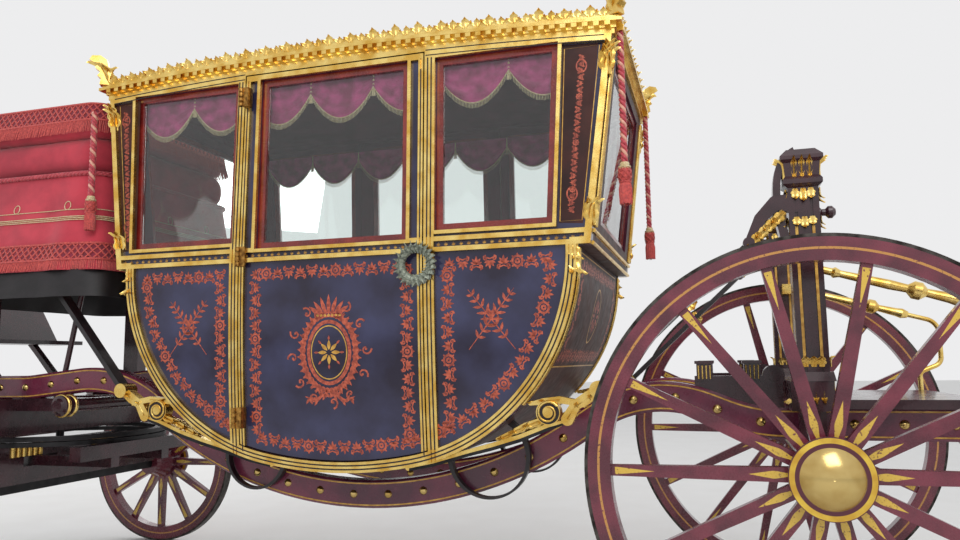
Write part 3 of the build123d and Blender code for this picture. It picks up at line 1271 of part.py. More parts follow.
# a palmette's outline: share of the pitch either side of its middle, share of the height
PALMETTE_HALF = ((0.10, 0.20), (0.30, 0.30), (0.36, 0.52), (0.24, 0.66), (0.20, 0.50), (0.16, 0.78), (0.07, 0.96))
PALMETTE = (
    *[(-out, up) for out, up in PALMETTE_HALF],
    (0.0, 1.0),
    *[(out, up) for out, up in reversed(PALMETTE_HALF)],
)
CREST_FOOT_H = CREST_H * 0.25
CORNICE_TIERS = ((12.0, SEAM, 24.0), (20.0, 24.0, 44.0), (CORNICE_OUT, 44.0, 58.0), (CORNICE_OUT - 12.0, 58.0, CORNICE_H))
with BuildPart() as cornice:
    for out, low, high in CORNICE_TIERS:
        add(cornice_tier(out, low, high))
    block_top = roof_line(BODY_X - REAR_ROPE_X) + CORNICE_TIERS[2][1] + 4.0
    with Locations((REAR_ROPE_X, 0, (REAR_ROPE_TOP_Z + SEAM + block_top) / 2)):
        with GridLocations(1, 2 * REAR_ROPE_Y, 1, 2):
            Box(*ROPE_BLOCK, block_top - REAR_ROPE_TOP_Z - SEAM)
    dentil_count = round(2 * TOP_HALF / DENTIL_PITCH)
    runs = [DENTIL_PITCH * (index - (dentil_count - 1) / 2) for index in range(dentil_count)]
    dentil_y = TOP_HALF_W + CORNICE_OUT / 2 + 6.0
    with Locations(*[(BODY_X + x, side * dentil_y, roof_line(x) + 35.0) for x in runs for side in (1, -1)]):
        Box(DENTIL_PITCH / 2, CORNICE_OUT / 2 + 8.0, 18.0)
save(cornice, "cornice")

CREST_OUT = 24.0
CORNER_SKEW = 0.6
CORNER_LEAF_T = 44.0
# the corner leaf's outline, in shares of its height: outwards, up
CORNER_LEAF = ((-0.22, 0.0), (0.16, 0.0), (0.12, 0.22), (0.24, 0.30), (0.14, 0.44), (0.32, 0.58), (0.24, 0.68),
               (0.50, 0.84), (0.42, 0.98), (0.16, 1.0), (-0.04, 0.86), (-0.10, 0.62), (-0.20, 0.40), (-0.14, 0.20))


def long_crest():
    """The strip of palmettes over the left side, its foot on the arched cornice."""
    with BuildPart() as strip:
        with BuildSketch(Plane.XZ.offset(-(TOP_HALF_W + CREST_OUT))):
            with Locations((BODY_X, 0)):
                crest_strip(TOP_HALF + CREST_OUT, TOP_Z + CORNICE_H - 30.0, round(2 * TOP_HALF / CREST_PITCH))
            left, mid, right = roof_arc(CORNICE_H + SEAM, TOP_HALF + 100.0)
            with BuildLine():
                ThreePointArc(left, mid, right)
                Polyline(right, (right[0], TOP_Z - 100.0), (left[0], TOP_Z - 100.0), left)
            make_face(mode=Mode.SUBTRACT)
        extrude(amount=CREST_T / 2, both=True)
    return strip.part


with BuildPart() as cresting:
    left_crest = long_crest()
    add(left_crest)
    add(mirror(left_crest, about=Plane.XZ, mode=Mode.PRIVATE))
    for end in (1, -1):
        z_end = roof_line(TOP_HALF + CREST_OUT - CREST_T / 2) + CORNICE_H + SEAM
        leaf_z = roof_line(TOP_HALF - CORNER_ORNAMENT_H / 10) + CORNICE_H + SEAM
        with BuildSketch(Plane.YZ.offset(BODY_X + end * (TOP_HALF + CREST_OUT))):
            crest_strip(TOP_HALF_W + CREST_OUT, z_end, round(2 * TOP_HALF_W / CREST_PITCH))
        extrude(amount=CREST_T / 2, both=True)
        for side in (1, -1):
            corner = Plane(
                origin=(BODY_X + end * (TOP_HALF + CREST_OUT), side * (TOP_HALF_W + CREST_OUT), leaf_z),
                x_dir=Vector(end, side * CORNER_SKEW, 0).normalized(),
                z_dir=Vector(end, side * CORNER_SKEW, 0).normalized().cross(Vector(0, 0, 1)),
            )
            with BuildSketch(corner):
                with BuildLine():
                    Polyline(*[(out * CORNER_ORNAMENT_H, up * CORNER_ORNAMENT_H) for out, up in CORNER_LEAF],
                             close=True)
                make_face()
            extrude(amount=CORNER_LEAF_T / 2, both=True)
save(cresting, "cresting")

# Roof: a low dome, hollow underneath
ROOF_EDGE_H = 50.0
ROOF_T = 28.0
ROOF_RIM = 55.0


def roof_dome(drop, shrink):
    """A block under the roof's double curve, lowered and shrunk for the hollow."""
    half_x = TOP_HALF - CORNICE_IN - SEAM - shrink
    half_y = TOP_HALF_W - CORNICE_IN - SEAM - shrink
    left, mid, right = roof_arc(SEAM, half_x)
    edge = ROOF_EDGE_H - drop
    side_z = TOP_Z + ROOF_EDGE_H / 2 + edge
    with BuildPart() as dome:
        with BuildSketch(Plane.XZ):
            with BuildLine():
                ThreePointArc(left, mid, right)
                Line(right, (right[0], right[1] + edge))
                ThreePointArc(
                    (right[0], right[1] + edge),
                    (BODY_X, mid[1] + ROOF_RISE - drop),
                    (left[0], left[1] + edge),
                )
                Line((left[0], left[1] + edge), left)
            make_face()
        extrude(amount=half_y, both=True)
        with BuildSketch(Plane.YZ):
            with BuildLine():
                ThreePointArc((-half_y, side_z), (0, mid[1] + ROOF_RISE - drop), (half_y, side_z))
                Polyline((half_y, side_z), (half_y, TOP_Z - ROOF_EDGE_H), (-half_y, TOP_Z - ROOF_EDGE_H),
                         (-half_y, side_z))
            make_face()
        extrude(amount=TOP_HALF + 300.0, both=True, mode=Mode.INTERSECT)
    return dome.part


with BuildPart() as roof:
    add(roof_dome(0.0, 0.0))
    add(roof_dome(ROOF_T, ROOF_RIM), mode=Mode.SUBTRACT)
save(roof, "roof")

# Inside: two benches with backs and the hanging valances
SEAT_Z = 1240.0
SEAT_DEPTH = 430.0
BACK_TOP_Z = 1720.0
SEAT_BACK_T = 90.0
FLOOR_TOP_Z = 900.0


def bench(end):
    """One bench with its back, fitted between the end wall and the sides."""
    with BuildPart() as one:
        with Locations((BODY_X + end * (BELT_HALF - WALL), 0, (FLOOR_TOP_Z + SEAT_Z) / 2)):
            Box(2 * SEAT_DEPTH, 3 * BELT_HALF_W, SEAT_Z - FLOOR_TOP_Z)
        with BuildSketch(Plane.XZ):
            with Locations((BODY_X + end * BELT_HALF, (SEAT_Z + BACK_TOP_Z) / 2 - 5.0)):
                Rectangle(2 * SEAT_DEPTH, BACK_TOP_Z - SEAT_Z + 10.0)
            add(elevation(WALL + SEAT_BACK_T, open_head=True), mode=Mode.SUBTRACT)
        extrude(amount=800.0, both=True)
        add(through(elevation(WALL + SEAM, open_head=True)), mode=Mode.INTERSECT)
        add(long_prism(WALL + SEAM), mode=Mode.INTERSECT)
    return one.part


with BuildPart() as seats:
    add(bench(1))
    add(bench(-1))
save(seats, "seats")

VALANCE_T = 12.0
VALANCE_Z = 2300.0
VALANCE_HALF = 1120.0
SWAG_DROP = 90.0
SWAGS = 7


def side_valance():
    """The left side's hanging valance with its row of swags."""
    pitch = 2 * VALANCE_HALF / SWAGS
    with BuildPart() as hanging:
        with BuildSketch(Plane.XZ):
            rect(BODY_X - VALANCE_HALF, VALANCE_Z + SWAG_DROP, BODY_X + VALANCE_HALF, TOP_Z - 10.0)
            with Locations((BODY_X, VALANCE_Z + SWAG_DROP)):
                with GridLocations(pitch, 1, SWAGS, 1):
                    Ellipse(pitch / 2 - 10.0, SWAG_DROP)
        extrude(amount=900, both=True)
        add(side_layer(WALL + SEAM, WALL + SEAM + VALANCE_T), mode=Mode.INTERSECT)
    return hanging.part


with BuildPart() as valances:
    left_valance = side_valance()
    add(left_valance)
    add(mirror(left_valance, about=Plane.XZ, mode=Mode.PRIVATE))
save(valances, "valances")

# Ropes and tassels
for rope_name, (x, y, top, foot, radius) in ROPES.items():
    with BuildPart() as rope:
        with BuildSketch(Plane.XY.offset(foot)):
            with Locations((x, y)):
                Circle(radius)
        extrude(amount=top - foot)
    save(rope, rope_name)

with BuildPart() as tassels:
    for x, y, top, foot, radius in ROPES.values():
        with BuildSketch(Plane.XZ.offset(-y)):
            with BuildLine():
                head = foot - SEAM
                profile = [(x + share_r * TASSEL_R, head - share * TASSEL_L) for share, share_r in TASSEL_TURNING]
                Polyline((x, head), *profile, (x, head - TASSEL_L), close=True)
            make_face()
        revolve(axis=Axis((x, y, 0), (0, 0, 1)))
save(tassels, "tassels")
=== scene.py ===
"""The state coach dressed: finishes, painted ornament, carving, drapery, ropes, lighting and the view."""

import logging
import math
import random
from collections.abc import Callable, Iterator, Sequence
from contextlib import contextmanager
from dataclasses import dataclass, field
from enum import Enum

import bmesh
import bpy
from mathutils import Matrix, Vector


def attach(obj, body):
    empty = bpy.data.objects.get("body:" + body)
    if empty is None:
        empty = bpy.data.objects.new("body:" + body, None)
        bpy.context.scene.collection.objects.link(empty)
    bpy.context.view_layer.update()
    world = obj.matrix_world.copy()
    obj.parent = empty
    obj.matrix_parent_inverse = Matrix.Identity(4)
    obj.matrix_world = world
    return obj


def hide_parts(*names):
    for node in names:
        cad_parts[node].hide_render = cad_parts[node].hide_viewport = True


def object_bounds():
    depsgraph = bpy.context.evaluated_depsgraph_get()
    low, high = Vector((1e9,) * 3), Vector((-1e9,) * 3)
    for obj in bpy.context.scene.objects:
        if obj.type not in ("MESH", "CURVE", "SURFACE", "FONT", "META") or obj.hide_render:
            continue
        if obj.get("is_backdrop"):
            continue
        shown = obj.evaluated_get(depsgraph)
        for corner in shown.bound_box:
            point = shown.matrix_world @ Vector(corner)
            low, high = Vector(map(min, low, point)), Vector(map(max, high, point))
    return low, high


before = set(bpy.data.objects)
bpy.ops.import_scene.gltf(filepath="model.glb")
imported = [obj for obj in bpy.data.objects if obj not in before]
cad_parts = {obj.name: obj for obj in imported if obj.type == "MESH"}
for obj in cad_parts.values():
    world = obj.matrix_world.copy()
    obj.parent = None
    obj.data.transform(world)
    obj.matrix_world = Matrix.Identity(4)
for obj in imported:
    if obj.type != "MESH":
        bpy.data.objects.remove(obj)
CAD_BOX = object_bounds()

LOG = logging.getLogger("coach")
MM = 0.001

Point = tuple[float, float]
Point3 = tuple[float, float, float]
Piece, Material = bpy.types.Object, bpy.types.Material
Node, Socket, Tree = bpy.types.Node, bpy.types.NodeSocket, bpy.types.NodeTree


class Side(Enum):
    """The coach's two sides, as the sign of Y."""

    LEFT = 1
    RIGHT = -1

    @property
    def word(self) -> str:
        """The side's name in node and body names."""
        return self.name.lower()


# Cabin sizes, as in the part's source
BODY_X = -0.060
TOP_HALF, TOP_Z, TOP_RISE = 1.255, 2.520, 0.045
BELT_HALF, LOW_HALF, BELT_Z, BELT_H = 1.145, 1.090, 1.650, 0.065
TURN_HALF, TURN_Z, KEEL_Z = 0.360, 0.750, 0.715
TOP_HALF_W, BELT_HALF_W, LOW_HALF_W, LOW_W_Z, KEEL_HALF_W = 0.640, 0.668, 0.652, 1.150, 0.605
DOOR_X, DOOR_HALF, DOOR_GAP = BODY_X + 0.018, 0.447, 0.006
EDGE_BAND, POST_BAND, MOULD_T, WALL = 0.052, 0.046, 0.016, 0.045
REAR_AXLE_X, FRONT_AXLE_X = -2.000, 2.056
REAR_WHEEL_R, FRONT_WHEEL_R = 0.800, 0.532
PERCH_Y, PERCH_W, PERCH_H = 0.350, 0.080, 0.125
PERCH_LINE = (
    (-2.600, 0.925, 0.0), (-1.800, 0.925, 0.600), (-1.380, 1.092, 0.500), (-0.070, 0.229, 1.817),
    (1.315, 1.142, 0.700), (1.900, 1.080, 0.700), (2.176, 1.080, 0.0),
)
# loop irons: Y, and their volute's distance from the cabin's middle and Z
LOOP_Y, VOLUTE_X, VOLUTE_Z = 0.585, 0.943, 0.977
# rear face of the front axle bed, and the turned tie bar under the perches
BED_REAR_X, TIE_X, TIE_Z = 1.996, 1.570, 0.9885
SEAT_X, SEAT_HALF_X, SEAT_HALF_Y = 1.770, 0.450, 0.560
# draped cloth: Z, half length, half width, corner radius, distance ahead of the seat's middle
SKIRT = (
    (2.180, 0.450, 0.560, 0.130, 0.0), (1.920, 0.490, 0.600, 0.140, 0.010),
    (1.665, 0.560, 0.670, 0.150, 0.020),
)
UNDER_CLOTH = ((1.700, 0.538, 0.648, 0.140, 0.019), (1.530, 0.588, 0.698, 0.150, 0.026))
# ropes: X, Y, top, foot, radius
ROPES = {
    "rope_rear_left": (-1.343, 0.600, 2.542, 1.987, 0.015),
    "rope_rear_right": (-1.343, -0.600, 2.542, 1.911, 0.015),
    "rope_box_left": (1.319, 0.620, 2.478, 2.042, 0.016),
    "rope_box_right": (1.319, -0.620, 2.478, 2.042, 0.016),
}
TASSEL_L, TASSEL_R = 0.178, 0.028
KNOT_REACH = 0.036  # the rope's end, hidden in the tassel's head
PAINT_LIFT = 0.0006  # how far paint stands off the surface below it


def srgb(code: str) -> tuple[float, float, float, float]:
    """A hex colour as linear red, green, blue and alpha.

    Args:
        code: Six hex digits after a hash sign.

    Returns:
        The linear colour, opaque.
    """
    parts = [int(code[i:i + 2], 16) / 255 for i in (1, 3, 5)]
    red, green, blue = [v / 12.92 if v <= 0.04045 else ((v + 0.055) / 1.055) ** 2.4 for v in parts]
    return red, green, blue, 1.0


def add_node(tree: Tree, kind: str, inputs: dict | None = None, **settings: object) -> Node:
    """Adds a node with its settings, values and links.

    Args:
        tree: The node tree that takes it.
        kind: The node's type name, without the ShaderNode that it starts with.
        inputs: Values or output sockets by the input's name or number.
        **settings: Attributes of the node.

    Returns:
        The new node.
    """
    made = tree.nodes.new(f"ShaderNode{kind}")
    for name, value in settings.items():
        setattr(made, name, value)
    for key, value in (inputs or {}).items():
        if isinstance(value, Socket):
            tree.links.new(value, made.inputs[key])
        else:
            made.inputs[key].default_value = value
    return made


def empty_material(name: str) -> Material:
    """A new material with an empty node tree.

    Args:
        name: The material's name.

    Returns:
        The material, without nodes.
    """
    made = bpy.data.materials.new(name)
    made.use_nodes = True
    made.node_tree.nodes.clear()
    return made


@dataclass(frozen=True)
class Finish:
    """A named finish that becomes one material."""

    name: str

    def material(self) -> Material:
        """The finish as a material, made once.

        Returns:
            The material.
        """
        if self.name in bpy.data.materials:
            return bpy.data.materials[self.name]
        made = empty_material(self.name)
        tree = made.node_tree
        place = add_node(tree, "TexCoord").outputs["Object"]
        shader = add_node(tree, "BsdfPrincipled", self.inputs(tree, place))
        add_node(tree, "OutputMaterial", {"Surface": shader.outputs[0]})
        return made

    def inputs(self, tree: Tree, place: Socket) -> dict[str, object]:
        """The shader's values and links, which each finish defines."""
        raise NotImplementedError


@dataclass(frozen=True)
class Surface(Finish):
    """A finish of two mixed colours with a fine relief, by real sizes in millimetres."""

    light: str
    dark: str
    patch_mm: float
    grain_mm: float
    relief_mm: float
    rough: tuple[float, float]
    metallic: float = 0.0
    coat: float = 0.0
    coat_rough: float = 0.08
    sheen: float = 0.0
    ior: float = 1.5
    stretch: Point3 = (1.0, 1.0, 1.0)

    def colour(self, tree: Tree, place: Socket) -> Socket:
        """The base colour: the two tones in soft patches.

        Args:
            tree: The material's node tree.
            place: The socket of the place in the coach's frame.

        Returns:
            The colour's socket.
        """
        patches = add_node(tree, "TexNoise", {"Vector": place, "Scale": 1000 / self.patch_mm, "Detail": 5.0})
        spread = add_node(tree, "MapRange", {0: patches.outputs[0], 1: 0.36, 2: 0.64})
        mixed = add_node(tree, "MixRGB", {0: spread.outputs[0], 1: srgb(self.dark), 2: srgb(self.light)})
        return mixed.outputs[0]

    def inputs(self, tree: Tree, place: Socket) -> dict[str, object]:
        """Patches of colour, and one fine relief that rules both bump and gloss.

        Args:
            tree: The material's node tree.
            place: The socket of the place in the coach's frame.

        Returns:
            The shader's inputs by name.
        """
        scaled = add_node(tree, "Mapping", {"Vector": place, "Scale": self.stretch}).outputs[0]
        height = add_node(tree, "TexNoise",
                          {"Vector": scaled, "Scale": 1000 / self.grain_mm, "Detail": 3.0}).outputs[0]
        gloss = add_node(tree, "MapRange", {0: height, 1: 0.3, 2: 0.7, 3: self.rough[0], 4: self.rough[1]})
        bump = add_node(tree, "Bump", {"Height": height, "Distance": self.relief_mm * MM, "Strength": 1.0})
        return {
            "Base Color": self.colour(tree, scaled), "Roughness": gloss.outputs[0], "Metallic": self.metallic,
            "Normal": bump.outputs[0], "Coat Weight": self.coat, "Coat Roughness": self.coat_rough,
            "Sheen Weight": self.sheen, "IOR": self.ior,
        }


# Patches and grain are in millimetres of the real thing. The weave and nap of cloth, silk and velvet are
# finer than the view can show, so their grain is drawn coarser, at 0.8 to 1.6 mm.
# Gold leaf on carved and gessoed wood, burnished by hand: warm, slightly uneven, bright on the high places
GILT = Surface("gold_leaf_on_gesso", "#F5D784", "#D9AC50", 70, 6, 0.16, (0.20, 0.36), metallic=1.0)
# Orange ochre laid on lacquer by brush: a thin paint with little gloss and streaks of a darker tone
ORNAMENT = Surface("brushed_orange_ochre", "#CF6448", "#8C3B2E", 14, 2, 0.05, (0.35, 0.5))
# Shell gold in gum, drawn as lines: duller and more even than leaf, with no metal glint
GOLD_PAINT = Surface("painted_gold_line", "#E2B353", "#B98532", 25, 2, 0.05, (0.3, 0.45))
# Yellow enamel on the hub ring, brushed and varnished: an even, warm, half-gloss yellow
YELLOW_PAINT = Surface("yellow_coach_enamel", "#E8C548", "#C99B2C", 60, 3, 0.04, (0.25, 0.38))
# Many coats of dark aubergine lacquer, rubbed and varnished: deep, with a clear gloss; the lighter blue-grey tone
# clouded through it is painted reflection of the bright surroundings
LACQUER = Surface("aubergine_coach_lacquer", "#3D3E5E", "#221B30", 320, 60, 0.03, (0.10, 0.17), coat=0.7)
# The same lacquer, browned and dulled by age on the pilasters and ends: a soft brown sheen
CORNER_LACQUER = Surface("brown_aubergine_lacquer", "#4A2620", "#2C1614", 180, 60, 0.03, (0.45, 0.6), ior=1.35)
# Dark enamel on the carriage's beams, brushed and varnished: near black with a red cast
CARRIAGE = Surface("dark_aubergine_carriage_enamel", "#43222A", "#2A151B", 150, 40, 0.04, (0.2, 0.32), coat=0.35)
# Aubergine enamel on the perches, brushed and varnished: a purplish red, half glossy
PERCH_PAINT = Surface("aubergine_perch_enamel", "#7C3048", "#532036", 170, 40, 0.04, (0.2, 0.32), coat=0.35)
# Painted shade in the grooves between gilt reeds, under the cornice's tiers and in the volutes' eyes: a flat dark paint
# that stands for the shadow there
PAINTED_GROOVE_SHADE = Surface("dark_groove_between_reeds", "#2A1C1E", "#171012", 60, 6, 0.05, (0.5, 0.7))
# Crimson enamel on the window frames, brushed: an even dark red with a soft gloss
SASH = Surface("crimson_sash_enamel", "#8E2A22", "#6A1A18", 90, 6, 0.04, (0.2, 0.32), coat=0.4)
# Japanned leather stretched over the roof: black, with a fine pebble that breaks its gloss
ROOF = Surface("japanned_roof_leather", "#231C22", "#151015", 120, 2.5, 0.12, (0.3, 0.45), coat=0.2)
# Wrought iron tyres, worn by the road: brown-grey with rubbed lighter places
TYRE = Surface("worn_tyre_iron", "#55504C", "#26221F", 40, 3, 0.3, (0.4, 0.6), metallic=0.8)
# Forged iron, blacked with oil: dull and dark, with hammered unevenness
IRON = Surface("black_wrought_iron", "#2B2A2C", "#161517", 60, 4, 0.2, (0.4, 0.58), metallic=0.5)
# Cast brass, polished: clear and pale gold with soft broad reflections
BRASS = Surface("polished_brass", "#D2B777", "#B4924F", 110, 40, 0.02, (0.10, 0.18), metallic=1.0)
# Brass hinges that were never polished again: brown in the hollows, dull gold on the edges
OLD_BRASS = Surface("worn_brown_brass", "#B98A45", "#6E4A22", 14, 3, 0.2, (0.3, 0.5), metallic=0.9)
# Bronze with a grey-green patina: stony and matt, with a little metal left
BRONZE = Surface("patinated_bronze", "#A8AE9C", "#6A7066", 12, 4, 0.3, (0.4, 0.55), metallic=0.35)
# Waxed black harness leather: a fine pebble and a low gloss
LEATHER = Surface("black_harness_leather", "#272023", "#141013", 50, 1.8, 0.25, (0.35, 0.5), coat=0.15)
# Beech stained dark, planed along Y: streaks along the grain under a dull varnish
SEAT_WOOD = Surface("dark_stained_beech", "#4A2F26", "#2E1B16", 90, 3, 0.12, (0.35, 0.5),
                    stretch=(1.0, 0.12, 1.0))
# Crimson silk velvet: matt and deep, pale where the pile turns at its edges
VELVET = Surface("crimson_seat_velvet", "#8C1E38", "#6B1328", 45, 1.2, 0.2, (0.7, 0.85), sheen=0.5)
# Crimson broadcloth, fulled wool with the weave closed: matt, softly mottled
CLOTH = Surface("crimson_broadcloth", "#D03A4C", "#AE2A3C", 160, 1.6, 0.25, (0.72, 0.88), sheen=0.35)
# Crimson silk yarn, twisted: a soft lengthwise gloss
SILK = Surface("crimson_silk_cord", "#D2505A", "#A8303E", 12, 0.9, 0.25, (0.4, 0.6), sheen=0.3)
# Salmon silk yarn, twisted and faded: the rope's light strand
PALE_SILK = Surface("pale_salmon_silk_cord", "#F0B8A0", "#D9907E", 12, 0.9, 0.25, (0.4, 0.6), sheen=0.3)
# Salmon silk lace and fringe, netted by hand: matt with a light sheen
LACE = Surface("salmon_silk_lace", "#D8584E", "#AE3A3C", 9, 1.1, 0.3, (0.55, 0.7), sheen=0.3)
# Cream silk lace with gold thread: pale, with a warm sheen
PALE_LACE = Surface("cream_and_gold_lace", "#E9D9B4", "#C7AC74", 7, 0.8, 0.2, (0.45, 0.6), sheen=0.2)
# Rose silk damask: bright on the folds, deep in the hollows
SWAG = Surface("rose_silk_damask", "#CC4488", "#8E2256", 60, 1.2, 0.15, (0.4, 0.55), sheen=0.4)
# Plum wool cloth glued on the cabin's inner walls: flat and dark
LINING = Surface("plum_cloth_lining", "#5D2337", "#471829", 90, 1.5, 0.15, (0.7, 0.85), sheen=0.2)
# Waxed black cloth under the hammercloth: close-woven, nearly matt
BLACK_CLOTH = Surface("black_waxed_cloth", "#1D181B", "#100D0F", 70, 1.4, 0.2, (0.5, 0.65))


@dataclass(frozen=True)
class PlateGlass(Finish):
    """Old plate glass, cast and ground: nearly colourless and clear, with a faint waviness."""

    name: str = "clear_plate_glass"

    def inputs(self, tree: Tree, place: Socket) -> dict[str, object]:
        """Clear glass over waves some 180 mm apart.

        Args:
            tree: The material's node tree.
            place: The socket of the place in the coach's frame.

        Returns:
            The shader's inputs by name.
        """
        wave = add_node(tree, "TexNoise", {"Vector": place, "Scale": 1000 / 180, "Detail": 1.0})
        bump = add_node(tree, "Bump", {"Height": wave.outputs[0], "Distance": 0.4 * MM, "Strength": 1.0})
        return {"Base Color": srgb("#F4FAF8"), "Roughness": 0.0, "Transmission Weight": 1.0, "IOR": 1.5,
                "Normal": bump.outputs[0]}


@dataclass(frozen=True)
class RoundPaint(Finish):
    """A finish whose pattern is centred on an axle."""

    axle: Point

    def centred(self, tree: Tree, place: Socket) -> tuple[Node, Socket]:
        """The place's parts from the axle, and its distance from it.

        Args:
            tree: The material's node tree.
            place: The socket of the place in the coach's frame.

        Returns:
            The node that parts the place, and the distance's socket.
        """
        moved = add_node(tree, "Mapping", {"Vector": place, "Location": (-self.axle[0], 0.0, -self.axle[1])})
        parts = add_node(tree, "SeparateXYZ", {0: moved.outputs[0]})
        flat = add_node(tree, "CombineXYZ", {0: parts.outputs[0], 1: parts.outputs[2]})
        reach = add_node(tree, "VectorMath", {0: flat.outputs[0]}, operation="LENGTH").outputs["Value"]
        return parts, reach


@dataclass(frozen=True)
class WheelPaint(RoundPaint):
    """Aubergine-red wheel enamel, brushed and varnished, with a gold ring on the felloe and yellow paddles."""

    radius: float
    spokes: int
    felloe_depth: float = 0.092
    ring_inset: float = 0.050
    ring_half: float = 0.0042
    paddle_half: float = 0.0125
    paddle_foot: float = 0.121
    ground: Surface = Surface("wheel_ground", "#7A3040", "#56202E", 120, 8, 0.05, (0.22, 0.34), coat=0.35)

    def inputs(self, tree: Tree, place: Socket) -> dict[str, object]:
        """The ring and, at each spoke's foot and tip, a paddle that widens and narrows with the reach.

        Args:
            tree: The material's node tree.
            place: The socket of the place in the coach's frame.

        Returns:
            The shader's inputs by name.
        """
        parts, reach = self.centred(tree, place)
        turn = add_node(tree, "Math", {0: parts.outputs[2], 1: parts.outputs[0]}, operation="ARCTAN2")
        near = add_node(tree, "Math", {0: turn.outputs[0], 1: math.pi / self.spokes}, operation="PINGPONG")
        sine = add_node(tree, "Math", {0: near.outputs[0]}, operation="SINE")
        aside = add_node(tree, "Math", {0: sine.outputs[0], 1: reach}, operation="MULTIPLY").outputs[0]
        felloe_in = self.radius - self.felloe_depth
        tip = add_node(tree, "MapRange",
                       {0: reach, 1: felloe_in - 0.150, 2: felloe_in - 0.022, 3: 0.0, 4: self.paddle_half})
        tip_on = add_node(tree, "Math", {0: reach, 1: felloe_in - 0.014}, operation="LESS_THAN")
        rise = add_node(tree, "MapRange", {0: reach, 1: 0.128, 2: 0.165, 3: 0.006, 4: self.paddle_half})
        fall = add_node(tree, "MapRange", {0: reach, 1: 0.175, 2: 0.250, 3: self.paddle_half, 4: 0.0})
        root = add_node(tree, "Math", {0: rise.outputs[0], 1: fall.outputs[0]}, operation="MINIMUM")
        root_on = add_node(tree, "Math", {0: reach, 1: self.paddle_foot}, operation="GREATER_THAN")
        tip_w = add_node(tree, "Math", {0: tip.outputs[0], 1: tip_on.outputs[0]}, operation="MULTIPLY")
        root_w = add_node(tree, "Math", {0: root.outputs[0], 1: root_on.outputs[0]}, operation="MULTIPLY")
        width = add_node(tree, "Math", {0: tip_w.outputs[0], 1: root_w.outputs[0]}, operation="MAXIMUM")
        paddle = add_node(tree, "Math", {0: aside, 1: width.outputs[0]}, operation="LESS_THAN")
        ring = add_node(tree, "Math", {0: reach, 1: self.radius - self.ring_inset, 2: self.ring_half},
                        operation="COMPARE")
        marks = add_node(tree, "Math", {0: paddle.outputs[0], 1: ring.outputs[0]}, operation="MAXIMUM")
        grain = add_node(tree, "TexNoise", {"Vector": place, "Scale": 1000 / 9, "Detail": 3.0}).outputs[0]
        worn = add_node(tree, "MapRange", {0: grain, 1: 0.30, 2: 0.40})
        shown = add_node(tree, "Math", {0: marks.outputs[0], 1: worn.outputs[0]}, operation="MULTIPLY")
        tone = add_node(tree, "MixRGB", {0: ring.outputs[0], 1: srgb("#DDB648"), 2: srgb("#C48B45")})
        paint = add_node(tree, "MixRGB",
                         {0: shown.outputs[0], 1: self.ground.colour(tree, place), 2: tone.outputs[0]})
        gloss = add_node(tree, "MapRange", {0: grain, 1: 0.3, 2: 0.7, 3: 0.2, 4: 0.36})
        bump = add_node(tree, "Bump", {"Height": grain, "Distance": 0.06 * MM, "Strength": 1.0})
        return {"Base Color": paint.outputs[0], "Roughness": gloss.outputs[0], "Coat Weight": 0.35,
                "Coat Roughness": 0.1, "Normal": bump.outputs[0]}


@dataclass(frozen=True)
class HubPaint(RoundPaint):
    """Polished brass in the middle of a hub cap, yellow enamel on the ring round it."""

    brass_reach: float = 0.0985
    ring_reach: float = 0.121
    ring_half: float = 0.0085

    def inputs(self, tree: Tree, place: Socket) -> dict[str, object]:
        """Brass out to the dome's edge, then wheel enamel with a yellow ring.

        Args:
            tree: The material's node tree.
            place: The socket of the place in the coach's frame.

        Returns:
            The shader's inputs by name.
        """
        _, reach = self.centred(tree, place)
        outer = add_node(tree, "Math", {0: reach, 1: self.brass_reach}, operation="GREATER_THAN")
        rim = add_node(tree, "Math", {0: reach, 1: self.ring_reach, 2: self.ring_half}, operation="COMPARE")
        metal = add_node(tree, "Math", {0: 1.0, 1: outer.outputs[0]}, operation="SUBTRACT")
        ring = add_node(tree, "MixRGB", {
            0: rim.outputs[0], 1: srgb("#56222F"), 2: YELLOW_PAINT.colour(tree, place)})
        colour = add_node(tree, "MixRGB", {
            0: outer.outputs[0], 1: BRASS.colour(tree, place), 2: ring.outputs[0]})
        gloss = add_node(tree, "MapRange", {0: outer.outputs[0], 3: 0.2, 4: 0.34})
        return {"Base Color": colour.outputs[0], "Roughness": gloss.outputs[0], "Metallic": metal.outputs[0]}


@dataclass(frozen=True)
class CabinPaint(Finish):
    """Lacquer outside and plum cloth inside, told apart by which way a face looks from the cabin's middle."""

    outside: Surface
    inside: Surface = LINING
    middle: Point3 = (BODY_X, 0.0, 1.65)

    def inputs(self, tree: Tree, place: Socket) -> dict[str, object]:
        """The outer finish, or rough lining where a face looks inwards.

        Args:
            tree: The material's node tree.
            place: The socket of the place in the coach's frame.

        Returns:
            The shader's inputs by name.
        """
        normal = add_node(tree, "TexCoord").outputs["Normal"]
        out = add_node(tree, "VectorMath", {0: place, 1: self.middle}, operation="SUBTRACT")
        facing = add_node(tree, "VectorMath", {0: out.outputs[0], 1: normal}, operation="DOT_PRODUCT")
        inner = add_node(tree, "Math", {0: facing.outputs["Value"], 1: -0.3}, operation="LESS_THAN")
        colour = add_node(tree, "MixRGB", {
            0: inner.outputs[0], 1: self.outside.colour(tree, place), 2: self.inside.colour(tree, place)})
        fine = add_node(tree, "TexNoise", {"Vector": place, "Scale": 1000 / 40, "Detail": 2.0}).outputs[0]
        low, high = self.outside.rough
        gloss = add_node(tree, "MapRange", {0: fine, 1: 0.3, 2: 0.7, 3: low, 4: high})
        rough = add_node(tree, "Math", {0: inner.outputs[0], 1: gloss.outputs[0]}, operation="MAXIMUM")
        bump = add_node(tree, "Bump", {"Height": fine, "Distance": 0.03 * MM, "Strength": 1.0})
        return {"Base Color": colour.outputs[0], "Roughness": rough.outputs[0], "Normal": bump.outputs[0]}


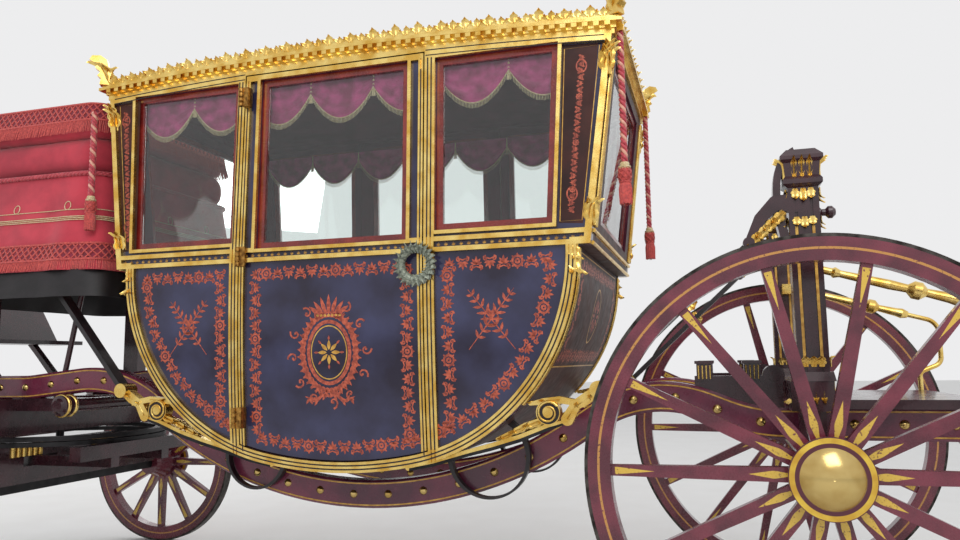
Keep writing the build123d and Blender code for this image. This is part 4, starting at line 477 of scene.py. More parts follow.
CABIN = CabinPaint("aubergine_cabin_lacquer_and_lining", LACQUER)
END_PANELS = CabinPaint("brown_end_lacquer_and_lining", CORNER_LACQUER)


@dataclass(frozen=True)
class Placing:
    """What a piece rides on, a slot's name, and its finish."""

    body: str
    slot: str
    finish: Finish


GILDED = Placing("carriage", "gilt", GILT)
GOLD_LINED = Placing("carriage", "gilt", GOLD_PAINT)
PAINTED = Placing("carriage", "gilt", ORNAMENT)


def sewn(finish: Finish) -> Placing:
    """Where cloth, lace or cushions of a finish belong."""
    return Placing("carriage", "crimson_velvet", finish)


def select_only(piece: Piece) -> None:
    """Makes a piece the only selected and the active object."""
    bpy.ops.object.select_all(action="DESELECT")
    piece.select_set(True)
    bpy.context.view_layer.objects.active = piece


def settle(piece: Piece, placing: Placing, smooth: float = 40.0) -> Piece:
    """Gives a piece its finish and body, and smooths it below an angle.

    Args:
        piece: The mesh object, its place in its mesh.
        placing: Body, slot and finish.
        smooth: The largest angle in degrees that is shaded smooth.

    Returns:
        The same object.
    """
    piece.data.materials.clear()
    piece.data.materials.append(placing.finish.material())
    select_only(piece)
    bpy.ops.object.shade_smooth_by_angle(angle=math.radians(smooth))
    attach(piece, placing.body)
    LOG.info("%s: %d faces", piece.name, len(piece.data.polygons))
    return piece


@contextmanager
def chosen_faces(piece: Piece, wanted: Callable[[bmesh.types.BMFace], bool]) -> Iterator[None]:
    """Edit mode on a piece with only the wanted faces selected.

    Args:
        piece: The mesh object.
        wanted: Says of a face whether it is selected.
    """
    select_only(piece)
    bpy.ops.object.mode_set(mode="EDIT")
    bpy.ops.mesh.select_mode(type="FACE")
    bpy.ops.mesh.select_all(action="DESELECT")
    shell = bmesh.from_edit_mesh(piece.data)
    for face in shell.faces:
        face.select_set(wanted(face))
    bmesh.update_edit_mesh(piece.data)
    yield
    bpy.ops.object.mode_set(mode="OBJECT")


def modify(piece: Piece, kind: str, **settings: object) -> None:
    """Gives a piece a modifier and applies it.

    Args:
        piece: The mesh object.
        kind: The modifier's type name.
        **settings: Attributes of the modifier.
    """
    added = piece.modifiers.new(kind, kind)
    for name, value in settings.items():
        setattr(added, name, value)
    select_only(piece)
    bpy.ops.object.modifier_apply(modifier=added.name)


def face_outwards(piece: Piece) -> None:
    """Turns a piece's faces outwards."""
    with chosen_faces(piece, lambda face: True):
        bpy.ops.mesh.normals_make_consistent(inside=False)


def bake_place(piece: Piece) -> None:
    """Moves a piece's place into its mesh and turns its faces outwards."""
    piece.data.transform(piece.matrix_world)
    piece.matrix_world = Matrix.Identity(4)
    face_outwards(piece)


def mesh_piece(name: str, verts: Sequence[Sequence[float]], faces: Sequence[Sequence[int]]) -> Piece:
    """A mesh object from points and faces, linked to the scene.

    Args:
        name: The object's name.
        verts: Its points.
        faces: Point numbers of each face.

    Returns:
        The new object.
    """
    data = bpy.data.meshes.new(name)
    data.from_pydata([tuple(v) for v in verts], [], [tuple(f) for f in faces])
    data.update()
    made = bpy.data.objects.new(name, data)
    bpy.context.collection.objects.link(made)
    return made


def join_pieces(name: str, pieces: Sequence[Piece]) -> Piece:
    """Joins mesh objects into one under a new name.

    Args:
        name: The new name.
        pieces: The mesh objects, at least one.

    Returns:
        The joined object.
    """
    bpy.ops.object.select_all(action="DESELECT")
    for piece in pieces:
        piece.select_set(True)
    bpy.context.view_layer.objects.active = pieces[0]
    bpy.ops.object.join()
    pieces[0].name = name
    return pieces[0]


def copy_mesh(piece: Piece, matrix: Matrix) -> Piece:
    """A copy of a piece with its own mesh, moved by a matrix; mirrored copies keep their faces outwards.

    Args:
        piece: The object to copy.
        matrix: What moves the copy's points.

    Returns:
        The copy.
    """
    made = piece.copy()
    made.data = piece.data.copy()
    made.data.transform(matrix)
    if matrix.determinant() < 0:
        made.data.flip_normals()
    bpy.context.collection.objects.link(made)
    return made


def block(name: str, low: Sequence[float], high: Sequence[float], bevel: float) -> Piece:
    """A bevelled block between two corners, its place in its mesh.

    Args:
        name: The object's name.
        low: Its lowest corner.
        high: Its highest corner.
        bevel: Width of its bevelled edges.

    Returns:
        The block.
    """
    bpy.ops.object.select_all(action="DESELECT")
    bpy.ops.mesh.primitive_cube_add(size=1.0)
    made = bpy.context.object
    made.name = name
    for vertex in made.data.vertices:
        vertex.co = Vector([low[k] if vertex.co[k] < 0 else high[k] for k in range(3)])
    modify(made, "BEVEL", width=bevel, segments=2)
    bake_place(made)
    return made


def turned(name: str, profile: Sequence[Point], steps: int = 24) -> Piece:
    """A turned piece about Z, spun from a profile of radius and height that starts and ends on the axis.

    Args:
        name: The object's name.
        profile: Radius and height of each point.
        steps: How many sides it has.

    Returns:
        The turned piece.
    """
    made = mesh_piece(name, [(r, 0.0, h) for r, h in profile], [])
    made.data.edges.add(len(profile) - 1)
    for row, edge in enumerate(made.data.edges):
        edge.vertices = (row, row + 1)
    select_only(made)
    bpy.ops.object.mode_set(mode="EDIT")
    bpy.ops.mesh.select_all(action="SELECT")
    bpy.ops.mesh.spin(steps=steps, angle=2 * math.pi, center=(0, 0, 0), axis=(0, 0, 1))
    bpy.ops.mesh.select_all(action="SELECT")
    bpy.ops.mesh.remove_doubles(threshold=0.00002)
    bpy.ops.mesh.normals_make_consistent(inside=False)
    bpy.ops.object.mode_set(mode="OBJECT")
    return made


@dataclass
class Shell:
    """Points and faces that are gathered for one mesh piece."""

    verts: list[Vector] = field(default_factory=list)
    faces: list[tuple[int, ...]] = field(default_factory=list)

    def tube(self, line: Sequence[Vector], radii: Sequence[float] | float, sides: int = 8, closed: bool = False,
             flat: float = 1.0) -> None:
        """Adds a round tube that follows a line.

        Args:
            line: The points of its middle line.
            radii: One radius, or one for each point.
            sides: How many sides the tube has.
            closed: Whether the last point joins the first.
            flat: Share of the radius across the second direction.
        """
        line = [Vector(p) for p in line]
        count = len(line)
        radii = [radii] * count if isinstance(radii, float) else list(radii)
        first = len(self.verts)
        across = None
        for i, p in enumerate(line):
            before = line[i - 1] if i or closed else line[0]
            after = line[(i + 1) % count] if i + 1 < count or closed else line[-1]
            ahead = (after - before).normalized()
            if across is None:
                across = ahead.cross(Vector((0.3, 0.5, 0.81))).normalized()
            across = (across - ahead * across.dot(ahead)).normalized()
            other = ahead.cross(across)
            for k in range(sides):
                turn = 2 * math.pi * k / sides
                out = across * math.cos(turn) + other * (math.sin(turn) * flat)
                self.verts.append(p + out * radii[i])
        rows = count if closed else count - 1
        for i in range(rows):
            a, b = first + i * sides, first + ((i + 1) % count) * sides
            for k in range(sides):
                n = (k + 1) % sides
                self.faces.append((a + k, a + n, b + n, b + k))
        if not closed:
            self.faces.append(tuple(first + k for k in reversed(range(sides))))
            self.faces.append(tuple(first + (count - 1) * sides + k for k in range(sides)))

    def grid(self, rows: Sequence[Sequence[Vector]], around: bool = False) -> None:
        """Adds a sheet of quads through rows of points.

        Args:
            rows: Rows of points, all of one length.
            around: Whether each row's ends are joined.
        """
        first, width = len(self.verts), len(rows[0])
        for row in rows:
            self.verts.extend(Vector(p) for p in row)
        for j in range(len(rows) - 1):
            for i in range(width if around else width - 1):
                n = (i + 1) % width
                a, b = first + j * width, first + (j + 1) * width
                self.faces.append((a + i, a + n, b + n, b + i))

    def piece(self, name: str, placing: Placing, smooth: float = 40.0, thick: float = 0.0) -> Piece:
        """Makes the gathered mesh a settled piece, with a wall thickness where one is given.

        Args:
            name: The piece's name.
            placing: Its body, slot and finish.
            smooth: The largest angle in degrees that is shaded smooth.
            thick: Wall thickness, or nought for none.

        Returns:
            The piece.
        """
        made = mesh_piece(name, self.verts, self.faces)
        face_outwards(made)
        if thick:
            modify(made, "SOLIDIFY", thickness=thick, offset=0.0)
        return settle(made, placing, smooth)


# Shapes that pieces share
def polar(angle: float, reach: float = 1.0) -> Vector:
    """The flat point at an angle and a reach."""
    return Vector((math.cos(angle) * reach, math.sin(angle) * reach))


def arc_points(start: Point, middle: Point, end: Point, count: int) -> list[Point]:
    """Points along the arc through three points, both ends included.

    Args:
        start: Its first point.
        middle: A point on it.
        end: Its last point.
        count: How many points.

    Returns:
        The points.
    """
    (ax, ay), (bx, by), (cx, cy) = start, middle, end
    span = 2 * (ax * (by - cy) + bx * (cy - ay) + cx * (ay - by))
    ux = ((ax**2 + ay**2) * (by - cy) + (bx**2 + by**2) * (cy - ay) + (cx**2 + cy**2) * (ay - by)) / span
    uy = ((ax**2 + ay**2) * (cx - bx) + (bx**2 + by**2) * (ax - cx) + (cx**2 + cy**2) * (bx - ax)) / span
    radius = math.hypot(ax - ux, ay - uy)
    first = math.atan2(ay - uy, ax - ux)
    last = math.atan2(cy - uy, cx - ux)
    mid = math.atan2(by - uy, bx - ux)
    turn = (last - first) % (2 * math.pi)
    if (mid - first) % (2 * math.pi) > turn:
        turn -= 2 * math.pi
    steps = [first + turn * i / (count - 1) for i in range(count)]
    return [(ux + radius * math.cos(a), uy + radius * math.sin(a)) for a in steps]


def rounded_line(corners: Sequence[tuple[float, float, float]], step: float = 0.05) -> list[Point]:
    """A line through corners of X, Z and fillet radius, its arcs cut into short runs.

    Args:
        corners: X, Z and fillet radius of each corner.
        step: Length of an arc's runs.

    Returns:
        The line's points.
    """
    made = [(corners[0][0], corners[0][1])]
    for before, corner, after in zip(corners, corners[1:], corners[2:]):
        here = Vector(corner[:2])
        back, ahead = (Vector(before[:2]) - here).normalized(), (Vector(after[:2]) - here).normalized()
        half = back.angle(ahead) / 2
        reach = corner[2] / math.tan(half)
        middle = here + (back + ahead).normalized() * (corner[2] / math.sin(half))
        inner = middle + (here - middle).normalized() * corner[2]
        first, last = here + back * reach, here + ahead * reach
        count = max(3, round(corner[2] * (math.pi - 2 * half) / step))
        made += arc_points(tuple(first), tuple(inner), tuple(last), count)
    return made + [(corners[-1][0], corners[-1][1])]


def evenly(line: Sequence[Point], step: float, closed: bool = False) -> list[tuple[Vector, Vector]]:
    """Places along a line at an even step that fits it, each a point and its direction.

    Args:
        line: The line's points.
        step: The step that is aimed at.
        closed: Whether the line's ends are joined.

    Returns:
        A point and a direction for each place.
    """
    points = [Vector(p) for p in line] + ([Vector(line[0])] if closed else [])
    runs = [(b - a).length for a, b in zip(points, points[1:])]
    count = max(1, round(sum(runs) / step))
    pitch, made, row, passed = sum(runs) / count, [], 0, 0.0
    for index in range(count):
        want = (index + 0.5) * pitch
        while row < len(runs) - 1 and passed + runs[row] < want:
            passed += runs[row]
            row += 1
        way = (points[row + 1] - points[row]).normalized()
        made.append((points[row] + way * (want - passed), way))
    return made


def inset(line: Sequence[Point], amount: float) -> list[Point]:
    """A closed outline, drawn anticlockwise, moved inwards by an amount.

    Args:
        line: The outline's points.
        amount: How far in.

    Returns:
        The moved outline.
    """
    made, count = [], len(line)
    for i in range(count):
        a, b, c = (Vector(line[(i + k) % count]) for k in (-1, 0, 1))
        one, two = (b - a).normalized(), (c - b).normalized()
        n1, n2 = Vector((-one.y, one.x)), Vector((-two.y, two.x))
        bend = n1 + n2
        made.append(tuple(b + bend * (amount / max(0.4, 1 + n1.dot(n2)))))
    return made


def keel_line(depth: float = 0.0, count: int = 40) -> list[Point]:
    """The cabin's lower outline from the rear belt corner down and up to the front one, inset by a depth.

    Args:
        depth: How far inside the cabin's edge.
        count: Runs in the two corners' arcs together.

    Returns:
        Points of X and Z.
    """
    sag = TURN_Z - KEEL_Z
    keel_r = (TURN_HALF**2 + sag**2) / (2 * sag)
    ahead = TURN_HALF / keel_r
    up = math.sqrt(1 - ahead**2)
    reach = Vector((LOW_HALF - TURN_HALF, BELT_Z - TURN_Z))
    corner_r = reach.length**2 / (2 * (reach.y * up - reach.x * ahead))
    mid_x, mid_z = TURN_HALF - corner_r * ahead, TURN_Z + corner_r * up
    top = math.atan2(BELT_Z - mid_z, LOW_HALF - mid_x)
    low = math.atan2(TURN_Z - mid_z, TURN_HALF - mid_x)
    corner = [low + (top - low) * i / (count // 2) for i in range(count // 2 + 1)]
    reach_in = corner_r - depth
    right = [(mid_x + reach_in * math.cos(a), mid_z + reach_in * math.sin(a)) for a in corner]
    keel = [ahead * i / 6 for i in range(6)]
    reach_in = keel_r - depth
    right = [(reach_in * a, KEEL_Z + keel_r - reach_in * math.sqrt(1 - a * a)) for a in keel] + right
    left = [(-x, z) for x, z in reversed(right[1:])]
    return [(BODY_X + x, z) for x, z in left + right]


SIDE_FOOT, SIDE_WAIST, SIDE_BELT = (KEEL_HALF_W, KEEL_Z - 0.060), (LOW_HALF_W, LOW_W_Z), (BELT_HALF_W, BELT_Z)
SIDE_CURVE = arc_points(SIDE_FOOT, SIDE_WAIST, SIDE_BELT, 60)
END_CURVE = [(x - BODY_X, z) for x, z in keel_line() if x > BODY_X]


def at_height(curve: Sequence[Point], z: float) -> float:
    """The first value of a curve of (value, Z) at a height.

    Args:
        curve: Points of a value and Z, upwards.
        z: The height.

    Returns:
        The value there, or that of the nearer end.
    """
    for (v0, z0), (v1, z1) in zip(curve, curve[1:]):
        if z0 <= z <= z1 and z1 > z0:
            return v0 + (v1 - v0) * (z - z0) / (z1 - z0)
    return curve[0][0] if z < curve[0][1] else curve[-1][0]


def side_half_width(z: float) -> float:
    """Half the cabin's width at a height."""
    if z >= BELT_Z:
        return BELT_HALF_W + (TOP_HALF_W - BELT_HALF_W) * (z - BELT_Z) / (TOP_Z - BELT_Z)
    return at_height(SIDE_CURVE, z)


def end_half_length(z: float) -> float:
    """Half the cabin's length at a height."""
    if z >= BELT_Z:
        return BELT_HALF + (TOP_HALF - BELT_HALF) * (z - BELT_Z) / (TOP_Z - BELT_Z)
    return at_height(END_CURVE, z)


def roof_line(reach: float) -> float:
    """Height of the arched top line at a distance from the cabin's middle."""
    radius = (TOP_HALF**2 + TOP_RISE**2) / (2 * TOP_RISE)
    return TOP_Z + TOP_RISE - radius + math.sqrt(radius**2 - reach**2)


def at_curve(x: float) -> float:
    """Height of the lower panels' edge, above the keel's moulding, at an X.

    Args:
        x: The X.

    Returns:
        The height, or the belt's where the edge doesn't reach.
    """
    line = keel_line(EDGE_BAND, 48)
    for (x0, z0), (x1, z1) in zip(line, line[1:]):
        if x0 <= x <= x1:
            return z0 + (z1 - z0) * (x - x0) / max(x1 - x0, 1e-9)
    return BELT_Z


class Face(Enum):
    """The cabin's four faces that carry ornament."""

    LEFT = "left"
    RIGHT = "right"
    FRONT = "front"
    REAR = "rear"

    def place(self, flat: Point, lift: float) -> Vector:
        """A point of the face in the coach's frame.

        Args:
            flat: X and Z on a side, Y and Z on an end.
            lift: Distance out from the face.

        Returns:
            The point in metres.
        """
        along, z = flat
        if self in (Face.LEFT, Face.RIGHT):
            way = 1 if self is Face.LEFT else -1
            return Vector((along, way * (side_half_width(z) + lift), z))
        way = 1 if self is Face.FRONT else -1
        return Vector((BODY_X + way * (end_half_length(z) + lift), along, z))


@dataclass
class Brushwork:
    """Painted ornament on a face: strokes, leaves and rings a fraction of a millimetre thick."""

    face: Face
    lift: float = PAINT_LIFT
    shell: Shell = field(default_factory=Shell)

    def stroke(self, line: Sequence[Vector | Point], widths: Sequence[float] | float,
               closed: bool = False) -> None:
        """A brush stroke along a line of flat points, of one width or one at each point.

        Args:
            line: The stroke's middle line.
            widths: One width, or one for each point.
            closed: Whether its ends are joined.
        """
        line = [Vector(p) for p in line]
        count = len(line)
        widths = [widths] * count if isinstance(widths, float) else list(widths)
        first = len(self.shell.verts)
        for i, p in enumerate(line):
            before = line[i - 1] if i or closed else line[0]
            after = line[(i + 1) % count] if i + 1 < count or closed else line[-1]
            way = (after - before).normalized()
            side = Vector((-way.y, way.x)) * (widths[i] / 2)
            self.shell.verts += [self.face.place(tuple(p + side), self.lift),
                                 self.face.place(tuple(p - side), self.lift)]
        for i in range(count if closed else count - 1):
            a, b = first + 2 * i, first + 2 * ((i + 1) % count)
            self.shell.faces.append((a, a + 1, b + 1, b))

    def ring(self, centre: Vector, radius: float, width: float, stretch: float = 1.0, steps: int = 14) -> None:
        """A ring, or an oval where stretch makes it taller.

        Args:
            centre: Its middle.
            radius: Its half width.
            width: The stroke's width.
            stretch: Its height by its width.
            steps: How many sides it has.
        """
        turns = [2 * math.pi * k / steps for k in range(steps)]
        self.stroke([centre + Vector((math.cos(a) * radius, math.sin(a) * radius * stretch)) for a in turns],
                    width, closed=True)

    def leaf(self, root: Vector, way: Vector, length: float, breadth: float) -> None:
        """A pointed leaf from its root.

        Args:
            root: Where it starts.
            way: Its direction.
            length: Its length.
            breadth: Its widest breadth.
        """
        shape = ((0.0, 0.15), (0.25, 0.8), (0.5, 1.0), (0.78, 0.6), (1.0, 0.05))
        self.stroke([root + way * (length * share) for share, _ in shape], [breadth * wide for _, wide in shape])

    def curl(self, centre: Vector, radius: float, start: float, turn: float, width: float) -> None:
        """A spiral that winds in to its middle and ends in a berry.

        Args:
            centre: The spiral's middle.
            radius: Its outer reach.
            start: The angle that it starts at.
            turn: How far it turns, in radians.
            width: The stroke's width.
        """
        steps = 9
        line, widths = [], []
        for i in range(steps + 1):
            share = i / steps
            angle, reach = start + turn * share, radius * (1 - 0.78 * share)
            line.append(centre + polar(angle, reach))
            widths.append(width * (1 - 0.35 * share))
        self.stroke(line, widths)
        self.stroke([centre - Vector((radius * 0.2, 0)), centre + Vector((radius * 0.2, 0))], radius * 0.36)

    def arabesque(self, line: Sequence[Point], width: float, closed: bool = True, roundels: int = 6) -> None:
        """A dense running band of palmettes and scrolls, with a roundel in every so many of them.

        Args:
            line: The band's middle line.
            width: The band's width.
            closed: Whether its ends are joined.
            roundels: Palmettes for each roundel, or nought for none.
        """
        for index, (place, way) in enumerate(evenly(line, width * 0.92, closed)):
            side = Vector((-way.y, way.x)) * (1 if index % 2 else -1)
            if roundels and index % roundels == roundels // 2:
                self.ring(place, width * 0.34, width * 0.15)
                self.ring(place, width * 0.13, width * 0.14, steps=8)
                for part in range(8):
                    out = polar(part * math.pi / 4)
                    self.leaf(place + out * width * 0.38, out, width * 0.15, width * 0.13)
                continue
            for angle in (-1.25, -0.65, 0.0, 0.65, 1.25):
                out = side * math.cos(angle) + way * math.sin(angle)
                self.leaf(place - side * width * 0.10, out, width * (0.56 - 0.12 * abs(angle)), width * 0.19)
            for along in (-1, 1):
                turn = math.atan2(-side.y, -side.x)
                spin = along * (1 if index % 2 else -1)
                middle = place + way * (along * width * 0.27) - side * width * 0.26
                self.curl(middle, width * 0.20, turn, 4.4 * spin, width * 0.11)
            self.stroke([place - way * width * 0.46 - side * width * 0.40, place - side * width * 0.24,
                         place + way * width * 0.46 - side * width * 0.40], width * 0.09)

    def border(self, outline: Sequence[Point], depth: float, width: float, roundels: int = 6) -> None:
        """An arabesque border inside a panel's outline.

        Args:
            outline: The panel's outline, anticlockwise.
            depth: Distance from outline to border.
            width: The border's width.
            roundels: Palmettes for each roundel.
        """
        self.arabesque(inset(outline, depth + width / 2), width * 0.96, roundels=roundels)

    def palmettes(self, line: Sequence[Point], pitch: float, height: float) -> None:
        """A frieze of small palmettes standing on a line.

        Args:
            line: The line they stand on.
            pitch: Distance between two.
            height: Height of each.
        """
        for place, way in evenly(line, pitch):
            up = Vector((-way.y, way.x))
            if up.y < 0:
                up = -up
            for angle in (-0.9, -0.45, 0.0, 0.45, 0.9):
                out = up * math.cos(angle) + way * math.sin(angle)
                self.leaf(place - up * height * 0.4, out, height * (0.85 - 0.25 * abs(angle)), height * 0.16)

    def piece(self, name: str, placing: Placing) -> Piece:
        """The finished ornament, its faces turned outwards.

        Args:
            name: The piece's name.
            placing: Its body, slot and finish.

        Returns:
            The piece.
        """
        made = mesh_piece(name, self.shell.verts, self.shell.faces)
        face_outwards(made)
        outward = {Face.LEFT: Vector((0, 1, 0)), Face.RIGHT: Vector((0, -1, 0)),
                   Face.FRONT: Vector((1, 0, 0)), Face.REAR: Vector((-1, 0, 0))}[self.face]
        shell = bmesh.new()
        shell.from_mesh(made.data)
        bmesh.ops.reverse_faces(shell, faces=[f for f in shell.faces if f.normal.dot(outward) < 0])
        shell.to_mesh(made.data)
        shell.free()
        return settle(made, placing)


@dataclass
class Photographer:
    """The camera, the lamps and the pale studio round the coach."""

    position: Point3 = (-1.665, 3.741, 1.183)
    yaw: float = 16.734
    pitch: float = 6.777
    roll: float = -0.754
    lens: float = 29.13
    floor_half: float = 40.0
    world_level: float = 0.74

    def build(self) -> None:
        """Sets up the camera, stage, lamps and view settings."""
        self.camera()
        self.studio()
        self.lamps()
        bpy.context.scene.view_settings.view_transform = "Standard"

    def camera(self) -> None:
        """The camera, set from the measured place and turns of the photograph's view."""
        yaw, pitch, roll = (math.radians(a) for a in (self.yaw, self.pitch, self.roll))
        ahead = Vector((math.sin(yaw) * math.cos(pitch), -math.cos(yaw) * math.cos(pitch), math.sin(pitch)))
        right = Vector((-math.cos(yaw), -math.sin(yaw), 0.0))
        up = right.cross(ahead)
        across = right * math.cos(roll) + up * math.sin(roll)
        above = -right * math.sin(roll) + up * math.cos(roll)
        data = bpy.data.cameras.new("camera")
        data.lens, data.sensor_width, data.clip_start = self.lens, 36.0, 0.05
        eye = bpy.data.objects.new("camera", data)
        bpy.context.collection.objects.link(eye)
        turn = Matrix((across, above, -ahead)).transposed().to_4x4()
        eye.matrix_world = Matrix.Translation(self.position) @ turn
        bpy.context.scene.camera = eye

    def studio(self) -> None:
        """A pale floor and a pale sky that the camera, gloss and glass see as near white."""
        bpy.ops.object.select_all(action="DESELECT")
        bpy.ops.mesh.primitive_plane_add(size=2 * self.floor_half, location=(0, 0, -0.001))
        floor = bpy.context.object
        floor.name = "studio_floor"
        bake_place(floor)
        made = empty_material("pale_studio_floor")
        tree = made.node_tree
        place = add_node(tree, "TexCoord").outputs["Object"]
        mottle = add_node(tree, "TexNoise", {"Vector": place, "Scale": 3.0, "Detail": 6.0})
        tone = add_node(tree, "MixRGB", {0: mottle.outputs[0], 1: srgb("#EAE8E4"), 2: srgb("#F3F2EF")})
        shader = add_node(tree, "BsdfPrincipled", {"Base Color": tone.outputs[0], "Roughness": 0.75})
        add_node(tree, "OutputMaterial", {"Surface": shader.outputs[0]})
        floor.data.materials.append(made)
        floor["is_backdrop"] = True
        world = bpy.data.worlds.new("studio")
        world.use_nodes = True
        tree = world.node_tree
        tree.nodes.clear()
        path = add_node(tree, "LightPath")
        seen = add_node(tree, "Math",
                        {0: path.outputs["Is Camera Ray"], 1: path.outputs["Is Transmission Ray"]}, operation="MAXIMUM")
        shine = add_node(tree, "Math",
                         {0: seen.outputs[0], 1: path.outputs["Is Glossy Ray"]}, operation="MAXIMUM")
        lit = add_node(tree, "Background", {"Color": srgb("#F2F4F8"), "Strength": self.world_level})
        shown = add_node(tree, "Background", {"Color": srgb("#EDEDEE"), "Strength": 1.0})
        mixed = add_node(tree, "MixShader",
                         {0: shine.outputs[0], 1: lit.outputs[0], 2: shown.outputs[0]})
        add_node(tree, "OutputWorld", {"Surface": mixed.outputs[0]})
        bpy.context.scene.world = world

    def lamps(self) -> None:
        """Two wide soft lamps: one high on the camera's side and a weaker one beyond."""
        for name, place, size, power in (("key", (-2.5, 5.5, 6.0), 4.0, 190.0),
                                         ("fill", (5.0, -5.0, 5.0), 4.0, 110.0)):
            data = bpy.data.lights.new(name, "AREA")
            data.size, data.energy = size, power
            lamp = bpy.data.objects.new(name, data)
            bpy.context.collection.objects.link(lamp)
            lamp.matrix_world = Matrix.Translation(place) @ (
                Vector(place) - Vector((0, 0, 1.2))).to_track_quat("Z", "Y").to_matrix().to_4x4()


@dataclass
class RopesAndTassels:
    """Twisted silk ropes that hang straight, each with a latticed tassel."""

    strands: int = 3
    lay_mm: float = 62.0
    fringe_threads: int = 52

    def centre_line(self, name: str) -> list[Vector]:
        """The rope's middle line, read from a NURBS spline through its route's points.

        Args:
            name: The rope's name.

        Returns:
            The line's points, from the top.
        """
        x, y, top, foot, _ = ROPES[name]
        foot -= KNOT_REACH
        curve = bpy.data.curves.new(f"{name}_route", "CURVE")
        curve.dimensions = "3D"
        route = curve.splines.new("NURBS")
        points = ((x, y, top), (x, y, (top + foot) / 2), (x, y, foot))
        route.points.add(len(points) - 1)
        for slot, point in zip(route.points, points):
            slot.co = (*point, 1.0)
        route.order_u = 3
        route.use_endpoint_u = True
        holder = bpy.data.objects.new(f"{name}_route", curve)
        bpy.context.collection.objects.link(holder)
        line = bpy.data.meshes.new_from_object(holder)
        found = [v.co.copy() for v in line.vertices]
        bpy.data.objects.remove(holder)
        bpy.data.meshes.remove(line)
        return found

    def build(self) -> None:
        for name, (x, y, top, foot, radius) in ROPES.items():
            line = self.centre_line(name)
            shell = Shell()
            length = top - foot + KNOT_REACH
            count = round(length / 0.006)
            for strand in range(self.strands):
                twist = []
                for i in range(count + 1):
                    place = self.along(line, i / count)
                    turn = 2 * math.pi * (strand / self.strands + i / count * length / (self.lay_mm * MM))
                    twist.append(place + Vector((math.cos(turn), math.sin(turn), 0)) * radius * 0.56)
                shell.tube(twist, radius * 0.46, sides=9)
            rope = shell.piece(f"{name}_twisted", sewn(SILK), 60)
            rope.data.materials.append(PALE_SILK.material())
            for strand_face in rope.data.polygons[:len(rope.data.polygons) // self.strands]:
                strand_face.material_index = 1
            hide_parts(name)
            tassel = self.tassel(name, x, y, foot)
            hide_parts("tassels")
            [tuple(p) for p in line]

    @staticmethod
    def along(line: Sequence[Vector], share: float) -> Vector:
        """A point at a share of a line's points.

        Args:
            line: The line's points.
            share: Nought at its first point, one at its last.

        Returns:
            The point.
        """
        want = share * (len(line) - 1)
        row = min(int(want), len(line) - 2)
        return line[row].lerp(line[row + 1], want - row)

    def tassel(self, name: str, x: float, y: float, foot: float) -> Piece:
        """One tassel: a bound gold collar, a latticed head and a skirt of threads.

        Args:
            name: The rope's name.
            x: Its X.
            y: Its Y.
            foot: Z of the tassel's top.

        Returns:
            The tassel.
        """
        length, radius = TASSEL_L, TASSEL_R
        head = turned(f"{name}_head", [(0.0, -0.0005), (radius * 0.6, -0.001), (radius * 0.72, -0.008),
                                       (radius * 0.58, -0.018), (radius * 0.86, -0.030), (radius * 0.93, -0.052),
                                       (radius * 0.78, -0.078), (radius * 0.6, -0.086), (0.0, -0.087)])
        net = Shell()
        for way in (1, -1):
            for start in range(7):
                line = []
                for i in range(15):
                    drop = 0.022 + 0.060 * i / 14
                    turn = 2 * math.pi * start / 7 + way * 2.2 * i / 14
                    bulge = radius * (0.84 + 0.14 * math.sin(math.pi * i / 14))
                    line.append(Vector((math.cos(turn) * bulge, math.sin(turn) * bulge, -drop)))
                net.tube(line, 0.0021, sides=5)
        for drop in (0.020, 0.084):
            net.tube([Vector((math.cos(a) * radius * 0.8, math.sin(a) * radius * 0.8, -drop))
                      for a in (2 * math.pi * k / 20 for k in range(20))], 0.0038, sides=6, closed=True)
        draw = random.Random(name)
        for k in range(self.fringe_threads):
            turn = 2 * math.pi * k / self.fringe_threads
            reach = radius * draw.uniform(0.80, 0.92)
            low = -length * draw.uniform(0.955, 0.995)
            out = Vector((math.cos(turn), math.sin(turn), 0))
            net.tube([out * radius * 0.68 + Vector((0, 0, -0.080)), out * reach + Vector((0, 0, -0.110)),
                      out * reach * 0.98 + Vector((0, 0, low * 0.8)), out * reach * draw.uniform(0.9, 1.0)
                      + Vector((0, 0, low))], 0.0024, sides=4)
        threads = mesh_piece(f"{name}_threads", net.verts, net.faces)
        made = join_pieces(f"{name.replace('rope', 'tassel')}", [head, threads])
        made.data.transform(Matrix.Translation((x, y, foot)))
        settle(made, sewn(LACE), 50)
        made.data.materials.append(PALE_LACE.material())
        for face in made.data.polygons:
            face.material_index = int(face.center.z > foot - 0.025)
        return made


